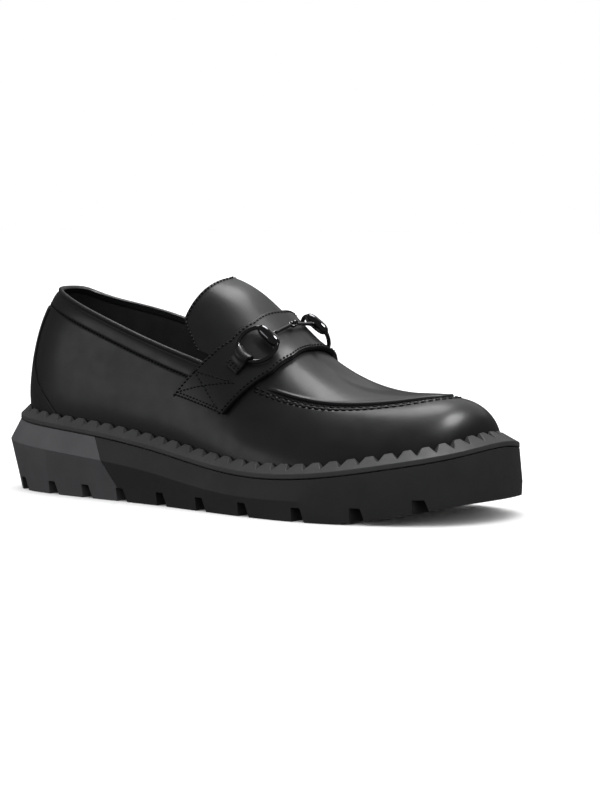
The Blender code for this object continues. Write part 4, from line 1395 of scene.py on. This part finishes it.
def make_bit(side, name, node):
    """One half of the bit: hoop, barrel across its head, bar and the eye that meets the other half."""
    foot, head, up, along, normal = ring_frame(side)
    start = math.asin(barrel_chord() / RING_RADIUS)
    turns = np.linspace(start, -math.pi - start, RING_STEPS[0])
    line = arc(foot + up * RING_RADIUS, along, up, RING_RADIUS, turns)
    ring_body = swept_tube(line, WIRE_RADIUS, RING_STEPS[1])
    places = [head + along * BARREL_LENGTH * s for s in column(BARREL_PROFILE, 0)]
    barrel = swept_tube(places, np.array(column(BARREL_PROFILE, 1)) * BARREL_RADIUS, BARREL_STEPS)
    middle, across_ridge, _ = strap_point(KNOT_ANGLE, KNOT_SHARE, 1, KNOT_LIFT + EYE_RADIUS + EYE_WIRE)
    eye_centre = middle - across_ridge * EYE_SHIFT * side
    reach = unit(eye_centre - head)
    t = np.linspace(0, 1, BAR_STEPS[0])[:, None]
    line = head * (1 - t) + (eye_centre - reach * EYE_RADIUS) * t
    bar = swept_tube(line, BAR_RADIUS * (1 + BAR_COLLAR * bump(t[:, 0], *BAR_COLLAR_LINE)), BAR_STEPS[1])
    flat = unit(np.cross(normal, reach))
    second = flat if side > 0 else np.cross(reach, flat)
    turns = 2 * math.pi * np.arange(EYE_STEPS[0]) / EYE_STEPS[0]
    eye = swept_tube(arc(eye_centre, reach, second, EYE_RADIUS, turns), EYE_WIRE, EYE_STEPS[1], closed=True)
    points, faces = gather([ring_body, barrel, bar, eye])
    piece = make_piece(name, points, faces, [look("metal")], sharp=50.0)
    return seat(piece, "bit_metal", node)


def seat_point(side, foot, along, up, place, lift):
    """A point above the strap at a place (along, up) in the ring's own frame, from the ring's foot."""
    share = RING_SHARES[side][0]
    angle = bit_angle(share, side)
    for _ in range(6):
        point = strap_point(angle, share, side, lift)[0]
        by_angle = strap_point(angle + 1, share, side, lift)[0] - point
        by_share = (strap_point(angle, share + 0.01, side, lift)[0] - point) / 0.01
        miss = [place[0] - (point - foot).dot(along), place[1] - (point - foot).dot(up)]
        slopes = [[by_angle.dot(along), by_share.dot(along)], [by_angle.dot(up), by_share.dot(up)]]
        step = np.linalg.solve(slopes, miss)
        angle += step[0]
        share += step[1]
    return strap_point(angle, share, side, lift)[0]


def tab_sections(side):
    """Sections of a tab across its width: seated end, loop round the ring's foot, and back."""
    foot, _, up, along, normal = ring_frame(side)
    inside = WIRE_RADIUS + TAB_SLACK
    reach = inside + TAB_THICKNESS
    bend = np.radians(TAB_TURNS)
    turns = [(reach * math.cos(a), reach * math.sin(a)) for a in bend]
    turns += [(inside * math.cos(a), inside * math.sin(a)) for a in bend[::-1]]
    sections = []
    for shift in np.linspace(-TAB_WIDTH / 2, TAB_WIDTH / 2, TAB_STEPS):
        rise = RING_RADIUS - math.sqrt(RING_RADIUS**2 - shift**2)
        seats = [(-TAB_FOOT, 0), (-TAB_FOOT, 1), (-TAB_FOOT * TAB_REST, 1), (rise - inside - BIT_LIFT, 0)]
        low, high, rest, back = [
            seat_point(side, foot, along, up, (shift, place), SEAT_GAP + TAB_THICKNESS * level)
            for place, level in seats
        ]
        section = [low, low + (high - low) * TAB_EDGE, high + up * TAB_ROUND, rest]
        section += [foot + along * shift + up * (s + rise) + normal * h for s, h in turns]
        sections.append([*section, back])
    return np.array(sections)


def make_tab(side, name, node):
    """The leather tab that wraps a ring's foot and is sewn to the strap."""
    sections = tab_sections(side)
    count, corners = sections.shape[:2]
    faces = stacked(count, corners)
    faces.append(tuple(range(corners)))
    faces.append(tuple((count - 1) * corners + i for i in range(corners)))
    piece = make_piece(name, sections.reshape(-1, 3), faces, [look("leather")], sharp=45.0)
    bevel(piece, *TAB_BEVEL)
    return seat(piece, "tab_leather", node)


def stitch_tree():
    """Nodes that lay one stitch per pitch along a line of edges."""
    tree = bpy.data.node_groups.new("stitch_row", "GeometryNodeTree")
    sockets = tree.interface
    sockets.new_socket("Geometry", in_out="INPUT", socket_type="NodeSocketGeometry")
    for label in ("Pitch", "Length", "Width"):
        sockets.new_socket(label, in_out="INPUT", socket_type="NodeSocketFloat")
    sockets.new_socket("Thread", in_out="INPUT", socket_type="NodeSocketMaterial")
    sockets.new_socket("Geometry", in_out="OUTPUT", socket_type="NodeSocketGeometry")
    nodes = tree.nodes
    source = nodes.new("NodeGroupInput")
    curve = nodes.new("GeometryNodeMeshToCurve")
    resample = nodes.new("GeometryNodeResampleCurve")
    resample.mode = "LENGTH"
    tangent = nodes.new("GeometryNodeInputTangent")
    turn = nodes.new("FunctionNodeAlignRotationToVector")
    turn.axis = "X"
    ball = nodes.new("GeometryNodeMeshUVSphere")
    ball.inputs["Segments"].default_value = 8
    ball.inputs["Rings"].default_value = 6
    ball.inputs["Radius"].default_value = 0.5
    size = nodes.new("ShaderNodeCombineXYZ")
    shape = nodes.new("GeometryNodeTransform")
    lay = nodes.new("GeometryNodeInstanceOnPoints")
    real = nodes.new("GeometryNodeRealizeInstances")
    smooth = nodes.new("GeometryNodeSetShadeSmooth")
    paint = nodes.new("GeometryNodeSetMaterial")
    sink = nodes.new("NodeGroupOutput")
    wires = [
        (source, "Geometry", curve, "Mesh"),
        (curve, "Curve", resample, "Curve"),
        (source, "Pitch", resample, "Length"),
        (tangent, "Tangent", turn, "Vector"),
        (source, "Length", size, "X"),
        (source, "Width", size, "Y"),
        (source, "Width", size, "Z"),
        (ball, "Mesh", shape, "Geometry"),
        (size, "Vector", shape, "Scale"),
        (resample, "Curve", lay, "Points"),
        (shape, "Geometry", lay, "Instance"),
        (turn, "Rotation", lay, "Rotation"),
        (lay, "Instances", real, "Geometry"),
        (real, "Geometry", smooth, "Geometry"),
        (smooth, "Geometry", paint, "Geometry"),
        (source, "Thread", paint, "Material"),
        (paint, "Geometry", sink, "Geometry"),
    ]
    for giver, output, taker, socket in wires:
        tree.links.new(giver.outputs[output], taker.inputs[socket])
    return tree


def sew(name, lines, tree, pitch, width, slot):
    """Rows of stitches along lines of points, as one plain mesh."""
    points, edges = [], []
    for line in lines:
        start = len(points)
        points += [tuple(p) for p in line]
        edges += [(k, k + 1) for k in range(start, len(points) - 1)]
    mesh = bpy.data.meshes.new(name)
    mesh.from_pydata(points, edges, [])
    piece = add_object(name, mesh)
    change = piece.modifiers.new("stitches", "NODES")
    change.node_group = tree
    values = {"Pitch": pitch, "Length": pitch * STITCH_SHARE, "Width": width, "Thread": look("thread")}
    for item in tree.interface.items_tree:
        if item.in_out == "INPUT" and item.name in values:
            change[item.identifier] = values[item.name]
    bake(piece)
    return seat(piece, slot)


def upper_line(u, run, start, stop):
    """A line on the side wall at one run below its edge, between two angles."""
    row = int(np.argmin(np.abs(np.array(SIDE_NEAR) - run)))
    keys = [u["index"][(c % UPPER_COLUMNS, -row)] for c in range(int(start), int(stop) + 1)]
    return u["outer"][keys] + u["normals"][keys] * GROOVE_STITCH_LIFT


def sheet_line(sheet, column_index):
    outer = sheet.at(1.0) + sheet.normals * SHEET_STITCH_LIFT
    return outer[:, column_index]


def strap_line(start, stop, side):
    """A line over the strap's outer face between two corners given as angle and share."""
    a, s = start
    b, t = stop
    steps = np.linspace(0, 1, BOX_STEPS)
    return np.array([strap_point(a + (b - a) * k, s + (t - s) * k, side, 0.0)[0] for k in steps])


def make_stitches(sizes):
    tree = stitch_tree()
    u = upper_mesh(sizes)
    thread = sizes.thread
    pitch = sizes.stitch_pitch
    end = int(COLLAR_END)
    band = [upper_line(u, sizes.collar_band, -end, end)]
    sew("collar_stitches", band, tree, pitch, thread, "upper_leather")
    seam = [upper_line(u, run, *SEAM_SPAN) for run in SEAM_ROWS]
    sew("seam_stitches", seam, tree, sizes.seam_pitch, thread * SEAM_THREAD, "upper_leather")
    tongue = [sheet_line(tongue_sheet(), STITCH_COLUMN)]
    sew("tongue_stitches", tongue, tree, pitch, thread, "tongue_leather")
    strap = strap_sheet()
    lines = [sheet_line(strap, STITCH_COLUMN), sheet_line(strap, -1 - STITCH_COLUMN)]
    lines += [strap_line(start, stop, side) for side in (1, -1) for start, stop in BOX_LINES]
    sew("strap_stitches", lines, tree, pitch, thread, "strap_leather")
    tabs = []
    for side in (1, -1):
        sections = tab_sections(side)[1:-1]
        for share in (0.25, 0.75):
            line = sections[:, 2] * (1 - share) + sections[:, 3] * share
            tabs.append(line + (0, -TAB_STITCH_OUT * side, TAB_STITCH_RISE))
    sew("tab_stitches", tabs, tree, pitch * TAB_STITCH, thread * TAB_STITCH, "tab_leather")


def add_sky(name, strength, spread):
    """Broad light straight from above that lights surfaces and stays out of their gloss."""
    data = bpy.data.lights.new(name, "SUN")
    data.energy = strength
    data.angle = spread
    add_object(name, data).visible_glossy = False


def add_soft_box(name, azimuth, elevation, width, height, glow):
    """A soft box that faces the shoe, seen only in its gloss."""
    a, e = math.radians(azimuth), math.radians(elevation)
    away = Vector((math.cos(a) * math.cos(e), math.sin(a) * math.cos(e), math.sin(e)))
    data = bpy.data.lights.new(name, "AREA")
    data.shape = "ELLIPSE"
    data.size = width
    data.size_y = height
    data.energy = glow * math.pi * math.pi * width * height / 4
    light = add_object(name, data)
    light.location = SHOE_MIDDLE + away * BOX_DISTANCE
    light.rotation_euler = away.to_track_quat("Z", "Y").to_euler()
    light.visible_diffuse = False
    light.visible_camera = False


def make_stage(stage):
    """Floor, soft studio light and the camera at the photograph's angle."""
    a, e = stage.azimuth, stage.elevation
    back = Vector((math.sin(a) * math.cos(e), -math.cos(a) * math.cos(e), math.sin(e)))
    right = Vector((math.cos(a), math.sin(a), 0.0))
    up = back.cross(right)
    aim = right * stage.aim_right + up * stage.aim_up + Vector((0, 0, stage.aim_height))
    camera = add_object("camera", bpy.data.cameras.new("camera"))
    camera.data.lens = stage.lens
    camera.data.sensor_width = 36.0
    camera.location = aim + back * stage.distance
    camera.rotation_euler = (-back).to_track_quat("-Z", "Y").to_euler()
    bpy.context.scene.camera = camera

    bm = bmesh.new()
    corners = ((-1, -1), (1, -1), (1, 1), (-1, 1))
    bm.faces.new([bm.verts.new((x * FLOOR_REACH, y * FLOOR_REACH, 0.0)) for x, y in corners])
    floor_look = Look("pale_floor", tuple(bpy.context.scene.loafer_colours.floor), 0.6)
    floor_look.set(Specular_IOR_Level=0.2)
    floor_look.relief(floor_look.noise(60.0), 0.00005, 0.1)
    floor = mesh_object("floor", bm, floor_look.material)
    floor.visible_diffuse = False
    floor.visible_glossy = False

    make_world(stage)
    add_sky("overhead", stage.overhead, stage.overhead_spread)
    add_sky("dome", stage.dome, stage.dome_spread)
    for *place, glow in SOFT_BOXES:
        add_soft_box(*place, glow * stage.gloss)
    bpy.context.scene.view_settings.view_transform = "Standard"


def make_world(stage):
    """A dim studio all round the shoe, with a white backdrop where the camera looks past it."""
    world = bpy.data.worlds.new("studio")
    bpy.context.scene.world = world
    world.use_nodes = True
    nodes, links = world.node_tree.nodes, world.node_tree.links
    dim = nodes["Background"]
    dim.inputs["Color"].default_value = (1.0, 1.0, 1.0, 1.0)
    dim.inputs["Strength"].default_value = stage.fill
    white = nodes.new("ShaderNodeBackground")
    white.inputs["Color"].default_value = (1.0, 1.0, 1.0, 1.0)
    white.inputs["Strength"].default_value = 1.0
    rays = nodes.new("ShaderNodeLightPath")
    mix = nodes.new("ShaderNodeMixShader")
    links.new(rays.outputs["Is Camera Ray"], mix.inputs[0])
    links.new(dim.outputs["Background"], mix.inputs[1])
    links.new(white.outputs["Background"], mix.inputs[2])
    links.new(mix.outputs["Shader"], nodes["World Output"].inputs["Surface"])


class LOAFER_OT_sole(bpy.types.Operator):
    """Build the outsole and the heel block"""

    bl_idname = "loafer.sole"
    bl_label = "Sole"

    def execute(self, context):
        make_sole_unit("outsole", look("rubber"), True, "outsole_rubber")
        make_sole_unit("heel_block", look("heel"), False, "heel_rubber")
        return {"FINISHED"}


class LOAFER_OT_welt(bpy.types.Operator):
    """Build the toothed welt"""

    bl_idname = "loafer.welt"
    bl_label = "Welt"

    def execute(self, context):
        make_welt()
        return {"FINISHED"}


class LOAFER_OT_insole(bpy.types.Operator):
    """Build the insole with its sock lining"""

    bl_idname = "loafer.insole"
    bl_label = "Insole"

    def execute(self, context):
        make_insole()
        return {"FINISHED"}


class LOAFER_OT_upper(bpy.types.Operator):
    """Build the upper and its heel strip"""

    bl_idname = "loafer.upper"
    bl_label = "Upper"

    def execute(self, context):
        make_upper(context.scene.loafer_sizes)
        make_heel_strip(context.scene.loafer_sizes)
        return {"FINISHED"}


class LOAFER_OT_tongue(bpy.types.Operator):
    """Build the tongue"""

    bl_idname = "loafer.tongue"
    bl_label = "Tongue"

    def execute(self, context):
        make_tongue(context.scene.loafer_sizes)
        return {"FINISHED"}


class LOAFER_OT_strap(bpy.types.Operator):
    """Build the saddle strap and the bit's tabs"""

    bl_idname = "loafer.strap"
    bl_label = "Saddle strap"

    def execute(self, context):
        make_strap()
        make_tab(1, "tab_loop_lateral", "bit_tab_lateral")
        make_tab(-1, "tab_loop_medial", "bit_tab_medial")
        return {"FINISHED"}


class LOAFER_OT_bit(bpy.types.Operator):
    """Build both halves of the bit"""

    bl_idname = "loafer.bit"
    bl_label = "Bit"

    def execute(self, context):
        make_bit(1, "bit_half_lateral", "bit_lateral")
        make_bit(-1, "bit_half_medial", "bit_medial")
        return {"FINISHED"}


class LOAFER_OT_stitches(bpy.types.Operator):
    """Sew every row of stitches"""

    bl_idname = "loafer.stitches"
    bl_label = "Stitches"

    def execute(self, context):
        make_stitches(context.scene.loafer_sizes)
        return {"FINISHED"}


class LOAFER_OT_stage(bpy.types.Operator):
    """Set the floor, the light and the camera"""

    bl_idname = "loafer.stage"
    bl_label = "Stage"

    def execute(self, context):
        make_stage(context.scene.loafer_stage)
        return {"FINISHED"}


OPERATORS = (
    LOAFER_OT_sole,
    LOAFER_OT_welt,
    LOAFER_OT_insole,
    LOAFER_OT_upper,
    LOAFER_OT_tongue,
    LOAFER_OT_strap,
    LOAFER_OT_bit,
    LOAFER_OT_stitches,
    LOAFER_OT_stage,
)


class LOAFER_PT_panel(bpy.types.Panel):
    """Sizes, colours and steps of the loafer"""

    bl_idname = "LOAFER_PT_panel"
    bl_label = "Bit Loafer"
    bl_space_type = "VIEW_3D"
    bl_region_type = "UI"
    bl_category = "Loafer"

    def draw(self, context):
        layout = self.layout
        for group in (context.scene.loafer_sizes, context.scene.loafer_colours, context.scene.loafer_stage):
            box = layout.box()
            for name in group.__annotations__:
                box.prop(group, name)
        for operator in OPERATORS:
            layout.operator(operator.bl_idname)


CLASSES = (LoaferSizes, LoaferColours, LoaferStage, *OPERATORS, LOAFER_PT_panel)


def register():
    for item in CLASSES:
        bpy.utils.register_class(item)
    bpy.types.Scene.loafer_sizes = PointerProperty(type=LoaferSizes)
    bpy.types.Scene.loafer_colours = PointerProperty(type=LoaferColours)
    bpy.types.Scene.loafer_stage = PointerProperty(type=LoaferStage)


def unregister():
    del bpy.types.Scene.loafer_stage
    del bpy.types.Scene.loafer_colours
    del bpy.types.Scene.loafer_sizes
    for item in reversed(CLASSES):
        bpy.utils.unregister_class(item)


def main():
    register()
    bpy.ops.loafer.sole()
    bpy.ops.loafer.welt()
    bpy.ops.loafer.insole()
    bpy.ops.loafer.upper()
    bpy.ops.loafer.tongue()
    bpy.ops.loafer.strap()
    bpy.ops.loafer.bit()
    bpy.ops.loafer.stitches()
    bpy.ops.loafer.stage()


if __name__ == "__main__":
    main()
